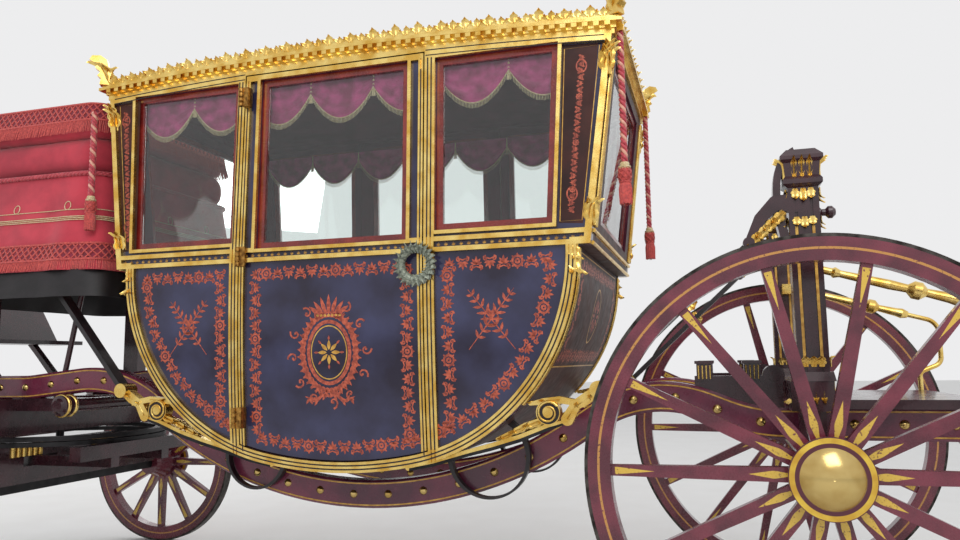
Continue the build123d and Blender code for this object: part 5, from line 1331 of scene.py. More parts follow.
@dataclass
class NodeFinishes:
    """The finish of every solid that shows as it is."""

    def table(self) -> dict[str, Finish]:
        """The finish by node name.

        Returns:
            Finishes by node name.
        """
        made: dict[str, Finish] = {}
        groups = (
            (GILT, "mouldings cornice cresting rear_rails body_loops door_trim_left door_trim_right"),
            (CABIN, "side_wall_left side_wall_right door_left door_right"),
            (END_PANELS, "front_wall rear_wall body_floor"),
            (CabinPaint("roof_leather_and_lining", ROOF), "roof"),
            (SASH, "sashes door_sash_left door_sash_right"),
            (PlateGlass(), "panes door_pane_left door_pane_right"),
            (TYRE, "tyre_front_left tyre_front_right tyre_rear_left tyre_rear_right"),
            (PERCH_PAINT, "perches"),
            (CARRIAGE, "rear_axle_bed front_axle_bed front_transom rear_standards front_standards"
                       " footman_platform windlass futchells splinter_bar footboard"),
            (IRON, "rear_axle front_axle kingpin wheel_plate_lower wheel_plate_upper"),
            (SEAT_WOOD, "seat_frame"),
            (LEATHER, "braces"),
        )
        for finish, names in groups:
            made.update({name: finish for name in names.split()})
        for end, x, radius, spokes in (("rear", REAR_AXLE_X, REAR_WHEEL_R, 14),
                                       ("front", FRONT_AXLE_X, FRONT_WHEEL_R, 12)):
            for side in Side:
                made[f"wheel_{end}_{side.word}"] = WheelPaint(f"wheel_enamel_{end}", (x, radius), radius, spokes)
                made[f"hub_cap_{end}_{side.word}"] = HubPaint(f"hub_brass_and_enamel_{end}", (x, radius))
        return made

    def build(self) -> None:
        """Gives each solid its finish."""
        for name, finish in self.table().items():
            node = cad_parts[name]
            node.data.materials.clear()
            node.data.materials.append(finish.material())
            LOG.info("%s wears %s", name, finish.name)


@dataclass
class CabinOrnament:
    """Painted borders, friezes and the door's oval, on all four faces of the cabin."""

    border_w: float = 0.066
    border_depth: float = 0.022
    oval_z: float = 1.235
    oval_half: Point = (0.100, 0.135)
    palmette_pitch: float = 0.034
    palmette_h: float = 0.019

    def build(self) -> None:
        """Paints the walls and doors of both sides, the two ends, and painted shade in the grooves between the reeds.
        """
        sides = ((Side.LEFT, Face.LEFT), (Side.RIGHT, Face.RIGHT))
        for side, face in sides:
            self.grooves(side, face)
        self.end_reeds()
        for side, face in sides:
            self.wall(side, face)
            self.door(side, face)
        self.end(Face.FRONT, "front")
        self.end(Face.REAR, "rear")

    @staticmethod
    def grooves(side: Side, face: Face) -> None:
        """Painted shade: dark lines along the grooves that part the mouldings into reeds, under the cornice's tiers and
        along the doors' mouldings.

        Args:
            side: The coach's side.
            face: The cabin's face on that side.
        """
        dark = Brushwork(face, MOULD_T + PAINT_LIFT)
        doors = Brushwork(face, MOULD_T + PAINT_LIFT)
        reed = (POST_BAND - 0.008) / 3
        for row in (1, 2):
            depth = row * (EDGE_BAND - DOOR_GAP - 0.008) / 3 + (row - 1) * 0.004 + 0.002
            dark.stroke([p for p in keel_line(depth, 60) if p[1] < BELT_Z - 0.004], 0.0062)
            for post in (DOOR_X - DOOR_HALF - DOOR_GAP - POST_BAND, DOOR_X + DOOR_HALF + DOOR_GAP):
                x = post + row * reed + (row - 1) * 0.004 + 0.002
                low = min(z for px, z in keel_line(EDGE_BAND, 60) if abs(px - x) < 0.06) + 0.004
                for z0, z1 in ((low, BELT_Z - 0.001), (BELT_Z + BELT_H + 0.001, TOP_Z - 0.002)):
                    dark.stroke([(x, z0 + (z1 - z0) * k / 8) for k in range(9)], 0.0062)
        # painted shadow lines under the cornice's tiers
        high = Brushwork(face, 0.0126)
        for x0, x1 in ((BODY_X - TOP_HALF + 0.03, DOOR_X - DOOR_HALF - 0.01),
                       (DOOR_X + DOOR_HALF + 0.01, BODY_X + TOP_HALF - 0.03)):
            steps = [x0 + (x1 - x0) * k / 10 for k in range(11)]
            for drop in (0.005, 0.029):
                dark.stroke([(x, roof_line(x - BODY_X) - drop) for x in steps], 0.0048)
        steps = [BODY_X + (TOP_HALF - 0.01) * (k / 12 - 1) for k in range(25)]
        high.stroke([(x, roof_line(x - BODY_X) + 0.0215) for x in steps], 0.0042)
        high.piece(f"cornice_groove_{side.word}", Placing("carriage", "carriage_paint", PAINTED_GROOVE_SHADE))
        for way in (1, -1):
            x = DOOR_X + way * (DOOR_HALF - POST_BAND / 4)
            doors.stroke([(x, 0.80 + (BELT_Z - 0.802) * k / 8) for k in range(9)], 0.0055)
            doors.stroke([(x, BELT_Z + BELT_H + 0.002), (x, TOP_Z - 0.05)], 0.0055)
        dark.piece(f"moulding_grooves_{side.word}", Placing("carriage", "carriage_paint", PAINTED_GROOVE_SHADE))
        doors.piece(f"door_grooves_{side.word}", Placing(f"door_{side.word}", "carriage_paint", PAINTED_GROOVE_SHADE))

    @staticmethod
    def end_reeds() -> None:
        """Gilt reeds up both ends' window posts and down the edges of their lower panels."""
        shell = Shell()
        for face, way in ((Face.FRONT, 1), (Face.REAR, -1)):
            for side in (1, -1):
                for inward in (0.022, 0.042, 0.062):
                    shell.tube([face.place((side * (side_half_width(z) - inward), z), 0.0045)
                                for z in (BELT_Z + 0.075, 2.1, TOP_Z - 0.025)], 0.0080, sides=8)
                for inward in (0.020, 0.038):
                    shell.tube([face.place((side * (side_half_width(z) - inward), z), 0.004)
                                for z in (BELT_Z - 0.01 - 0.045 * k for k in range(15))], 0.0070, sides=8)
            for z in (BELT_Z + 0.006, BELT_Z + 0.056):
                shell.tube([face.place((side * (side_half_width(z) - 0.014), z), 0.005) for side in (1, -1)],
                           0.0085, sides=8)
        shell.piece("end_reeds", GILDED, 60)

    @staticmethod
    def lower_outline(low_x: float, high_x: float) -> list[Point]:
        """The panel between two lines of X, from the keel's moulding up to the belt, anticlockwise.

        Args:
            low_x: The rear line's X.
            high_x: The front line's X.

        Returns:
            Points of X and Z.
        """
        line = [p for p in keel_line(EDGE_BAND, 48) if low_x < p[0] < high_x and p[1] < BELT_Z - 0.01]
        if low_x > BODY_X - LOW_HALF + EDGE_BAND:
            line.insert(0, (low_x, at_curve(low_x)))
        if high_x < BODY_X + LOW_HALF - EDGE_BAND:
            line.append((high_x, at_curve(high_x)))
        right, left = line[-1][0], line[0][0]
        if line[-1][1] > BELT_Z - 0.3:
            right = BODY_X + LOW_HALF - EDGE_BAND
        if line[0][1] > BELT_Z - 0.3:
            left = BODY_X - LOW_HALF + EDGE_BAND
        return line + [(right, BELT_Z), (left, BELT_Z)]

    def wall(self, side: Side, face: Face) -> None:
        """The borders of the lower quarters and corner pilasters and the belt's frieze.

        Args:
            side: The coach's side.
            face: The cabin's face on that side.
        """
        brush, gold, ground = Brushwork(face), Brushwork(face), Brushwork(face, 0.0003)
        post = DOOR_HALF + DOOR_GAP + POST_BAND
        for low_x, high_x in ((BODY_X - LOW_HALF, DOOR_X - post), (DOOR_X + post, BODY_X + LOW_HALF)):
            outline = self.lower_outline(low_x, high_x)
            brush.border(outline, self.border_depth, self.border_w)
            aside = 0.06 if low_x < BODY_X - 0.6 else -0.06
            self.trophy(brush, Vector(((low_x + high_x) / 2 + aside, 1.36)), 0.16)
        for way, foot, head in ((1, 1.083, 1.117), (-1, 1.014, 1.048)):
            inner_foot, inner_head = BODY_X + way * foot, BODY_X + way * head
            outer_foot, outer_head = BODY_X + way * 1.120, BODY_X + way * 1.212
            outline = [(inner_foot, 1.740), (outer_foot, 1.740), (outer_head, 2.490), (inner_head, 2.490)]
            if way < 0:
                outline = [outline[1], outline[0], outline[3], outline[2]]
            gold.stroke(inset(outline, 0.008), 0.0035, closed=True)
            middle = [((inner_foot + outer_foot) / 2, 1.78), ((inner_head + outer_head) / 2, 2.45)]
            ground.stroke([(middle[0][0], 1.738), (middle[1][0] - way * 0.008, 2.494)], [0.100, 0.150])
            brush.arabesque(middle, 0.030, closed=False, roundels=7)
            for place in (2.40, 1.86):
                share = (place - 1.78) / 0.67
                x = middle[0][0] + (middle[1][0] - middle[0][0]) * share
                brush.ring(Vector((x, place)), 0.021, 0.006, 1.3, 16)
        for low_x, high_x in ((BODY_X - BELT_HALF + 0.02, DOOR_X - post),
                              (DOOR_X + post, BODY_X + BELT_HALF - 0.02)):
            frieze = [(x, BELT_Z + BELT_H / 2) for x in (low_x, high_x)]
            gold.palmettes(frieze, self.palmette_pitch, self.palmette_h)
        ground.piece(f"pilaster_grounds_{side.word}", Placing("carriage", "body_lacquer", CORNER_LACQUER))
        brush.piece(f"painted_borders_{side.word}", PAINTED)
        gold.piece(f"painted_belt_frieze_{side.word}", GOLD_LINED)

    def door(self, side: Side, face: Face) -> None:
        """The door's border, its oval with a wreath and the frieze on its belt.

        Args:
            side: The coach's side.
            face: The cabin's face on that side.
        """
        brush, gold = Brushwork(face), Brushwork(face)
        half = DOOR_HALF - POST_BAND / 2
        brush.border(self.lower_outline(DOOR_X - half, DOOR_X + half), self.border_depth, self.border_w)
        centre = Vector((DOOR_X, self.oval_z))
        wide, tall = self.oval_half
        brush.ring(centre, wide, 0.016, tall / wide, 36)
        gold.ring(centre, wide * 0.86, 0.005, tall / wide, 36)
        for petal in range(8):
            out = polar(petal * math.pi / 4)
            gold.leaf(centre + out * 0.012, out, 0.042, 0.017)
            brush.leaf(centre + out * 0.052, out, 0.022, 0.010)
        for step in range(34):
            turn = math.pi * (0.60 + 1.80 * step / 33)
            root = centre + Vector((math.cos(turn) * wide * 1.14, math.sin(turn) * tall * 1.14))
            for lean, long in ((0.9, 0.050), (0.1, 0.044), (-0.7, 0.038)):
                way = polar(turn + lean)
                brush.leaf(root, way, long, 0.015)
            if step % 3 == 1:
                brush.curl(centre + Vector((math.cos(turn) * wide * 1.78, math.sin(turn) * tall * 1.62)), 0.027,
                           turn, 5.0 if step % 2 else -5.0, 0.009)
        for spread in range(-3, 4):
            way = Vector((math.sin(spread * 0.33), math.cos(spread * 0.33)))
            brush.leaf(centre + Vector((spread * 0.013, tall * 1.22)), way, 0.090 - 0.007 * abs(spread), 0.020)
            gold.ring(centre + Vector((spread * 0.018, tall * 1.20)), 0.004, 0.005, steps=6)
        for row, rise in enumerate((1.13, 1.24)):
            brush.stroke([centre + Vector((-0.066, tall * rise)), centre + Vector((0.0, tall * (rise + 0.06))),
                          centre + Vector((0.066, tall * rise))], 0.012 - 0.003 * row)
        for way in (-1, 1):
            foot = centre + Vector((0.0, -tall * 1.42))
            line = [foot + Vector((way * 0.020 * k, 0.012 * math.sin(k * 1.3) - 0.002 * k)) for k in range(7)]
            brush.stroke(line, [0.010, 0.016, 0.013, 0.017, 0.013, 0.009, 0.003])
            for k in range(1, 6):
                brush.leaf(line[k], Vector((way * 0.5, -0.86 if k % 2 else 0.86)), 0.030, 0.012)
        frieze = [(DOOR_X + way * (DOOR_HALF - 0.01), BELT_Z + BELT_H / 2) for way in (-1, 1)]
        gold.palmettes(frieze, self.palmette_pitch, self.palmette_h)
        body = f"door_{side.word}"
        brush.piece(f"painted_door_{side.word}", Placing(body, "gilt", ORNAMENT))
        gold.piece(f"painted_oval_{side.word}", Placing(body, "gilt", GOLD_PAINT))

    @staticmethod
    def trophy(brush: Brushwork, centre: Vector, size: float) -> None:
        """A loose bunch of crossed leaf sprays, for the middle of a quarter panel.

        Args:
            brush: The brushwork that takes it.
            centre: Where the sprays cross.
            size: Half the sprays' length.
        """
        for way in (-1, 1):
            lean = Vector((way * 0.62, 0.78))
            brush.stroke([centre - lean * size, centre, centre + lean * size], [0.003, 0.006, 0.002])
            for step in range(-3, 5):
                place = centre + lean * (size * step / 5)
                for side in (-1, 1):
                    out = (lean * 0.8 + Vector((-lean.y, lean.x)) * side).normalized()
                    brush.leaf(place, out, size * (0.30 - 0.03 * abs(step)), size * 0.08)
        brush.ring(centre, size * 0.20, size * 0.03, steps=20)

    def end(self, face: Face, word: str) -> None:
        """An end wall's lower panel: a border all round and an oval medallion.

        Args:
            face: The cabin's end.
            word: The end's name.
        """
        brush, gold = Brushwork(face), Brushwork(face)
        foot, head, half = 1.16, BELT_Z - 0.02, 0.56
        outline = [(-half, foot), (half, foot), (half, head), (-half, head)]
        brush.border(outline, 0.012, self.border_w)
        gold.stroke(inset(outline, 0.0), 0.006, closed=True)
        centre = Vector((0.0, (foot + head) / 2))
        gold.ring(centre, 0.10, 0.008, 1.25, 32)
        for petal in range(12):
            out = polar(petal * math.pi / 6)
            brush.leaf(centre + out * 0.03, out, 0.055, 0.018)
        gold.stroke([(-half, BELT_Z + 0.012), (half, BELT_Z + 0.012)], 0.016)
        gold.stroke([(-half, BELT_Z + 0.052), (half, BELT_Z + 0.052)], 0.016)
        for way in (-1, 1):
            gold.stroke([(way * (half + 0.03), BELT_Z + 0.07), (way * (half + 0.01), TOP_Z - 0.03)], 0.012)
        brush.piece(f"painted_border_{word}", PAINTED)
        gold.piece(f"painted_bands_{word}", GOLD_LINED)


@dataclass
class Carver:
    """Gilded carving built from one acanthus leaf, copied and placed."""

    leaf: Piece | None = None
    copies: list[Piece] = field(default_factory=list)

    def model_leaf(self) -> None:
        """The leaf: a grid drawn in to lobes, ribbed and curled forward, with a wall thickness."""
        bpy.ops.object.select_all(action="DESELECT")
        bpy.ops.mesh.primitive_grid_add(x_subdivisions=6, y_subdivisions=11, size=1.0)
        leaf = bpy.context.object
        leaf.name = "carver_leaf"
        for vertex in leaf.data.vertices:
            across, up = vertex.co.x * 2, vertex.co.y + 0.5
            lobes = 0.62 + 0.38 * abs(math.cos(up * 9.4))
            outline = math.sin(math.pi * min(1.0, up * 0.94 + 0.10)) ** 0.7 * lobes
            rib = 0.10 * (1 - abs(across)) ** 2 + 0.035 * math.cos(across * 9)
            curl = 0.55 * max(0.0, up - 0.62) ** 1.4 * 2.4 - 0.10 * math.sin(up * math.pi)
            vertex.co = Vector((across * 0.5 * outline, rib + curl, up - 0.30 * max(0.0, up - 0.72)))
        modify(leaf, "SOLIDIFY", thickness=0.06, offset=0.0)
        bake_place(leaf)
        bpy.context.collection.objects.unlink(leaf)
        self.leaf = leaf

    def place(self, root: Vector, up: Vector, out: Vector, length: float, breadth: float) -> None:
        """Adds a leaf from its root along up, its face and curl towards out.

        Args:
            root: The leaf's foot.
            up: The way it grows.
            out: The way its face looks.
            length: Its length.
            breadth: Its breadth.
        """
        up = up.normalized()
        out = (out - up * out.dot(up)).normalized()
        across = out.cross(up)
        turn = Matrix((across * breadth, out * length * 0.6, up * length)).transposed().to_4x4()
        self.copies.append(copy_mesh(self.leaf, Matrix.Translation(root) @ turn))

    def gather(self, name: str, placing: Placing) -> Piece:
        """Joins what was placed into one settled piece.

        Args:
            name: The piece's name.
            placing: Its body, slot and finish.

        Returns:
            The piece.
        """
        made = join_pieces(name, self.copies)
        self.copies = []
        return settle(made, placing, 50)


@dataclass
class GiltCarving:
    """Carved work on the cabin: corner capitals, consoles, drops, the cresting's leaves and roof corners."""

    carver: Carver = field(default_factory=Carver)
    # X from the cabin's middle, Z, direction, length and breadth of each leaf on a loop iron
    sling_leaves: tuple[tuple[float, float, Point, float, float], ...] = (
        (1.020, 0.952, (0.55, 0.83), 0.085, 0.050), (1.060, 1.004, (0.80, 0.55), 0.080, 0.050),
        (1.105, 1.036, (0.80, 0.55), 0.055, 0.044), (0.930, 0.950, (-0.9, -0.30), 0.105, 0.040),
        (0.860, 0.926, (-0.9, -0.38), 0.095, 0.034), (0.800, 0.898, (-0.9, -0.40), 0.085, 0.028),
        (0.990, 1.028, (-1.0, -0.05), 0.090, 0.028), (0.920, 1.021, (-1.0, -0.10), 0.070, 0.022),
    )
    # X from the cabin's middle, Z and half depth of the plate under a loop iron
    plate_line: tuple[Point3, ...] = (
        (1.005, 0.938, 0.0045), (0.943, 0.920, 0.0070), (0.820, 0.872, 0.0075), (0.700, 0.836, 0.0075),
        (0.600, 0.810, 0.0070), (0.440, 0.764, 0.0070), (0.335, 0.742, 0.0060),
    )

    def build(self) -> None:
        """Carves the corners, the cresting and the sling irons' leaves."""
        self.carver.model_leaf()
        for way in (1, -1):
            for side in Side:
                self.corner(way, side)
        self.carver.gather("carved_corners", GILDED)
        self.cresting()
        self.carver.gather("carved_cresting", GILDED)
        self.slings()
        self.carver.gather("carved_sling_leaves", GILDED)

    def corner(self, way: int, side: Side) -> None:
        """A corner's capital, the console over its belt, the drop below and the roof's leaf cluster.

        Args:
            way: One at the front, minus one at the rear.
            side: The coach's side.
        """
        out = Vector((way * 0.7, side.value * 0.7, 0)).normalized()
        for z, length, breadth, flip, lift in ((2.350, 0.130, 0.075, 1, 0.004), (2.395, 0.105, 0.06, 1, 0.012),
                                               (1.725, 0.120, 0.07, 1, 0.004), (1.640, 0.125, 0.07, -1, -0.008),
                                               (1.655, 0.075, 0.05, -1, 0.002)):
            level = z + flip * length * 0.3
            root = Vector((BODY_X + way * (end_half_length(level) - 0.012),
                           side.value * (side_half_width(level) - 0.006), z)) + out * lift
            for spread in (-0.9, 0.0, 0.9):
                face = Matrix.Rotation(spread, 3, "Z") @ out
                self.carver.place(root + face * 0.008, Vector((0, 0, flip)) + face * 0.12, face, length, breadth)
        base = Vector((BODY_X + way * (TOP_HALF + 0.030), side.value * (TOP_HALF_W + 0.030),
                       roof_line(TOP_HALF) + 0.070))
        for lean, spread, length in ((0.5, 0.0, 0.160), (0.42, 1.0, 0.125), (0.42, -1.0, 0.125),
                                     (0.25, 2.2, 0.10), (0.25, -2.2, 0.10), (0.1, 3.1, 0.12)):
            face = Matrix.Rotation(spread, 3, "Z") @ out
            self.carver.place(base - out * 0.02 - face * 0.004, Vector((0, 0, 1)) + face * lean, face,
                              length, length * 0.6)

    def cresting(self) -> None:
        """Leaves over the cresting's palmettes on all four sides."""
        draw = random.Random(11)
        for face in Face:
            on_side = face in (Face.LEFT, Face.RIGHT)
            reach = (TOP_HALF if on_side else TOP_HALF_W) + 0.024
            way = 1 if face in (Face.LEFT, Face.FRONT) else -1
            count = round(2 * reach / 0.054)
            for index in range(1, count):
                along = -reach + 2 * reach * index / count
                tall = 0.052 if index % 2 == 0 else 0.040
                for lean in (-1.0, -0.1, 0.9):
                    size = tall * draw.uniform(0.85, 1.1) * (1.0 if abs(lean) < 0.5 else 0.8)
                    top = roof_line(min(abs(along), TOP_HALF) if on_side else TOP_HALF) + 0.068
                    spot = along + lean * 0.008
                    if on_side:
                        root = Vector((BODY_X + spot, way * (TOP_HALF_W + 0.031), top))
                        up, out = Vector((lean, way * 0.15, 1)), Vector((0, way, 0))
                    else:
                        root = Vector((BODY_X + way * (TOP_HALF + 0.031), spot, top))
                        up, out = Vector((way * 0.15, lean, 1)), Vector((way, 0, 0))
                    self.carver.place(root, up, out, size, size * 0.85)

    def slings(self) -> None:
        """Spirals and acanthus on the loop irons, their dark lower plates, and discs of painted shade in the spirals'
        eyes.
        """
        spiral, plate = Shell(), Shell()
        for way in (1, -1):
            for side in Side:
                middle = Vector((BODY_X + way * VOLUTE_X, 0.0, VOLUTE_Z))
                for turn in (1, -1):
                    y = side.value * LOOP_Y + turn * 0.0275
                    line, radii = [], []
                    for k in range(37):
                        angle = 0.6 + k * 0.36
                        reach = 0.047 * (1 - k / 42)
                        line.append(middle + Vector((way * math.cos(angle) * reach, y, math.sin(angle) * reach)))
                        radii.append(0.0062 * (1 - k / 70))
                    spiral.tube(line, radii, sides=7)
                    face = Vector((0, turn, 0.2))
                    for x, z, up, length, broad in self.sling_leaves:
                        root = Vector((BODY_X + way * x, side.value * LOOP_Y + turn * 0.017, z))
                        self.carver.place(root, Vector((way * up[0], 0, up[1])), face, length, broad)
                rows = []
                for x, z, drop in self.plate_line:
                    under = drop * 2 + 0.001
                    rows.append([Vector((BODY_X + way * x, side.value * LOOP_Y + dy * 0.0168, z - height))
                                 for dy, height in ((1, 0.002), (1, under), (-1, under), (-1, 0.002))])
                plate.grid(rows, around=True)
        # dark discs behind each spiral: painted shade in its eye
        eye = turned("eye", [(0.0, 0.0014), (0.046, 0.0014), (0.046, 0.0), (0.0, 0.0)], 32)
        eyes = []
        for way in (1, -1):
            for side in Side:
                for turn in (1, -1):
                    y = side.value * LOOP_Y + turn * 0.026
                    spot = Matrix.Translation((BODY_X + way * VOLUTE_X, y, VOLUTE_Z))
                    eyes.append(copy_mesh(eye, spot @ Matrix.Rotation(-turn * math.pi / 2, 4, "X")))
        bpy.data.objects.remove(eye)
        settle(join_pieces("volute_grounds", eyes), Placing("carriage", "gilt", PAINTED_GROOVE_SHADE), 30)
        spiral.piece("sling_volutes", GILDED, 60)
        plate.piece("sling_iron_plates", Placing("carriage", "iron", IRON), 40, thick=0.0008)


@dataclass
class CarriageTrim:
    """Gold lines and studs on the perches, the doors' hinges, and gilt reeds and rings on the carriage."""

    stud_radius: float = 0.019
    stud_pitch: float = 0.171
    line_reach: float = 0.048
    line_w: float = 0.006
    hinge_levels: Point3 = (0.950, 1.676, 2.430)
    knuckle_pitch: float = 0.0228
    reed_first: float = 0.196
    reed_pitch: float = 0.036
    reed_r: float = 0.0135

    def build(self) -> None:
        """Adds the lines, studs, hinges, reeds and rings."""
        self.perch_lines()
        self.studs()
        for side in Side:
            self.hinges(side)
        self.blocks()

    def perch_lines(self) -> None:
        """Painted lines near both edges of each perch's faces."""
        line = rounded_line(PERCH_LINE, 0.03)
        shell = Shell()
        half = self.line_w / 2
        for side in (1, -1):
            for face in (1, -1):
                y = side * PERCH_Y + face * (PERCH_W / 2 + PAINT_LIFT)
                for offset in (self.line_reach, -self.line_reach):
                    rows = [[], []]
                    for i, p in enumerate(line):
                        before, after = line[max(0, i - 1)], line[min(len(line) - 1, i + 1)]
                        way = (Vector(after) - Vector(before)).normalized()
                        for row, reach in zip(rows, (offset - half, offset + half)):
                            q = Vector(p) + Vector((-way.y, way.x)) * reach
                            row.append(Vector((q.x, y, q.y)))
                    shell.grid(rows if side * face > 0 else rows[::-1])
        shell.piece("painted_perch_lines", GOLD_LINED, thick=0.0006)

    def studs(self) -> None:
        """Gilt domes along the perches, each turned from one profile."""
        line = rounded_line(PERCH_LINE, 0.03)
        profile = [(0.0, 0.013), (0.008, 0.0115), (0.0155, 0.0065), (self.stud_radius, 0.0), (0.0, 0.0)]
        first = turned("stud", profile, 16)
        copies = []
        for place, _ in evenly(line, self.stud_pitch):
            for side in (1, -1):
                for face in (1, -1):
                    spot = Vector((place.x, side * PERCH_Y + face * PERCH_W / 2, place.y))
                    turn = Matrix.Rotation(-face * math.pi / 2, 4, "X")
                    copies.append(copy_mesh(first, Matrix.Translation(spot) @ turn))
        bpy.data.objects.remove(first)
        settle(join_pieces("perch_studs", copies), Placing("carriage", "gilt", BRASS), 60)

    def hinges(self, side: Side) -> None:
        """Four-knuckle brass hinges on the door's front post.

        Args:
            side: The coach's side.
        """
        y = side.value * (BELT_HALF_W + MOULD_T + 0.010)
        copies = []
        knuckle = turned("knuckle", [(0.0, 0.0), (0.009, 0.0), (0.012, 0.003), (0.012, 0.0185), (0.009, 0.0215),
                                     (0.0, 0.0215)], 14)
        edge = DOOR_X + DOOR_HALF
        for z in self.hinge_levels:
            for row in range(4):
                spot = (edge + 0.003, y, z - 0.045 + row * self.knuckle_pitch)
                copies.append(copy_mesh(knuckle, Matrix.Translation(spot)))
            inner = side.value * (side_half_width(z) + MOULD_T - 0.001)
            copies.append(block("leaf", (edge - 0.036, inner, z - 0.046),
                                (edge - 0.004, y + side.value * 0.0012, z + 0.046), 0.002))
        bpy.data.objects.remove(knuckle)
        made = join_pieces(f"hinge_knuckles_{side.word}", copies)
        face_outwards(made)
        settle(made, Placing(f"door_{side.word}", "brass", OLD_BRASS), 40)

    def blocks(self) -> None:
        """Gilt reeds on the windlass blocks and the front axle bed, and rings on the tie bar's turned ends."""
        shell = Shell()
        for side in (1, -1):
            for x in (-1.615, -1.8017):
                for flute in range(4):
                    reed_x = x + (flute - 1.5) * 0.0155
                    for face in (1, -1):
                        y = side * PERCH_Y + face * 0.0335
                        shell.tube([Vector((reed_x, y, 1.103)), Vector((reed_x, y, 1.158))], 0.0035, sides=6)
        shell.piece("gilt_block_reeds", GILDED, 60)
        bed, rings = Shell(), Shell()
        for side in (1, -1):
            for reed in range(6):
                y = side * (self.reed_first + reed * self.reed_pitch)
                bed.tube([Vector((BED_REAR_X - 0.001, y, z)) for z in (0.704, 0.771)], self.reed_r, sides=12)
            for y, radius in ((0.440, 0.0495), (0.488, 0.0515)):
                flat = [polar(k * math.pi / 18, radius) for k in range(37)]
                rings.tube([Vector((TIE_X + p.x, side * y, TIE_Z + p.y)) for p in flat], 0.010, sides=10)
        bed.piece("gilt_bed_reeds", Placing("fore_carriage", "gilt", GILT), 60)
        rings.piece("gilt_tie_rings", GILDED, 60)


@dataclass
class StandardsTrim:
    """Gold stripes, hanging scallops and acanthus on the rear standards, bosses on the straps, door wreaths."""

    carver: Carver
    foot: Point3 = (-2.010, 0.560, 1.160)
    shaft_half: Point = (0.055, 0.045)
    stripe_top: float = 1.680
    stripe_w: float = 0.010
    boss_at: Point3 = (-1.5666, 0.6155, 1.4030)
    handle_at: Point3 = (-0.465, 0.6953, 1.600)
    wreath_r: float = 0.068

    def build(self) -> None:
        """Dresses both standards, both straps and both door handles."""
        stripes = Shell()
        x, y, _ = self.foot
        half_x, half_y = self.shaft_half
        for side in (1, -1):
            for face_y in (half_y, -half_y):
                for across in (-0.030, 0.030):
                    self.stripe(stripes, Vector((x + across, side * y + face_y * 1.012, 0)), Vector((1, 0, 0)))
            for face_x in (half_x, -half_x):
                for across in (-0.024, 0.024):
                    self.stripe(stripes, Vector((x + face_x * 1.010, side * y + across, 0)), Vector((0, 1, 0)))
            for turn in range(4):
                out = Matrix.Rotation(turn * math.pi / 2, 3, "Z") @ Vector((1, 0, 0))
                reach = half_x if turn % 2 == 0 else half_y
                across = Vector((-out.y, out.x, 0))
                for spread in (-1, 0, 1):
                    root = Vector((x, side * y, 0)) + out * (reach + 0.004) + across * (spread * reach * 0.62)
                    less = 0.012 * abs(spread)
                    for level, long, way in ((1.826, 0.060 - less, -1), (1.716, 0.050 - less, -1),
                                             (1.865, 0.095, 1), (1.150, 0.045, 1), (1.112, 0.110, -1)):
                        self.carver.place(root + Vector((0, 0, level)), Vector((0, 0, way)) + out * 0.14, out,
                                          long, 0.034)
            for face_y in (1, -1):
                for share in (0.05, 0.3, 0.55, 0.8):
                    spot = Vector((-1.945, side * LOOP_Y + face_y * 0.024, 1.745)).lerp(
                        Vector((-1.825, side * LOOP_Y + face_y * 0.024, 1.640)), share)
                    self.carver.place(spot, Vector((0.72, 0, -0.69)), Vector((0, face_y, 0.2)), 0.075, 0.046)
            boss = Vector((self.boss_at[0], side * self.boss_at[1], self.boss_at[2]))
            for petal in range(8):
                turn = petal * math.pi / 4
                way = Vector((math.cos(turn), side * 0.25, math.sin(turn)))
                self.carver.place(boss, way, Vector((0, side, 0)), 0.046, 0.034)
        stripes.piece("standard_gold_stripes", GOLD_LINED, thick=0.0008)
        self.carver.gather("standard_carving", GILDED)
        for side in Side:
            centre = Vector((self.handle_at[0], side.value * self.handle_at[1], self.handle_at[2]))
            for step in range(22):
                turn = 2 * math.pi * step / 22
                out = Vector((math.cos(turn), 0, math.sin(turn)))
                spot, along = centre + out * self.wreath_r, Vector((-out.z, 0, out.x))
                for lean in (1.1, 0.0, -1.1):
                    face = (Vector((0, side.value, 0)) + out * lean).normalized()
                    way = along + out * lean * 0.4 + face * 0.25
                    self.carver.place(spot + face * 0.009, way, face, 0.036, 0.026)
            self.carver.gather(f"handle_wreath_{side.word}", Placing(f"door_{side.word}", "gilt", BRONZE))

    def stripe(self, shell: Shell, middle: Vector, across: Vector) -> None:
        """An upright gold stripe from the foot to the stripes' top.

        Args:
            shell: What takes it.
            middle: X and Y of its middle line.
            across: The way it is wide.
        """
        edges = [middle + across * (way * self.stripe_w / 2) for way in (-1, 1)]
        shell.grid([[edge + Vector((0, 0, z)) for edge in edges] for z in (self.foot[2], self.stripe_top)])


def table_at(table: Sequence[tuple[float, ...]], z: float) -> tuple[float, ...]:
    """The sizes of a table of rows that start with Z, read between its rows.

    Args:
        table: The rows.
        z: The height.

    Returns:
        The row's sizes without Z.
    """
    rows = sorted(table)
    z = min(max(z, rows[0][0]), rows[-1][0])
    for low, high in zip(rows, rows[1:]):
        if low[0] <= z <= high[0]:
            share = (z - low[0]) / (high[0] - low[0])
            return tuple(a + (b - a) * share for a, b in zip(low[1:], high[1:]))
    return rows[-1][1:]


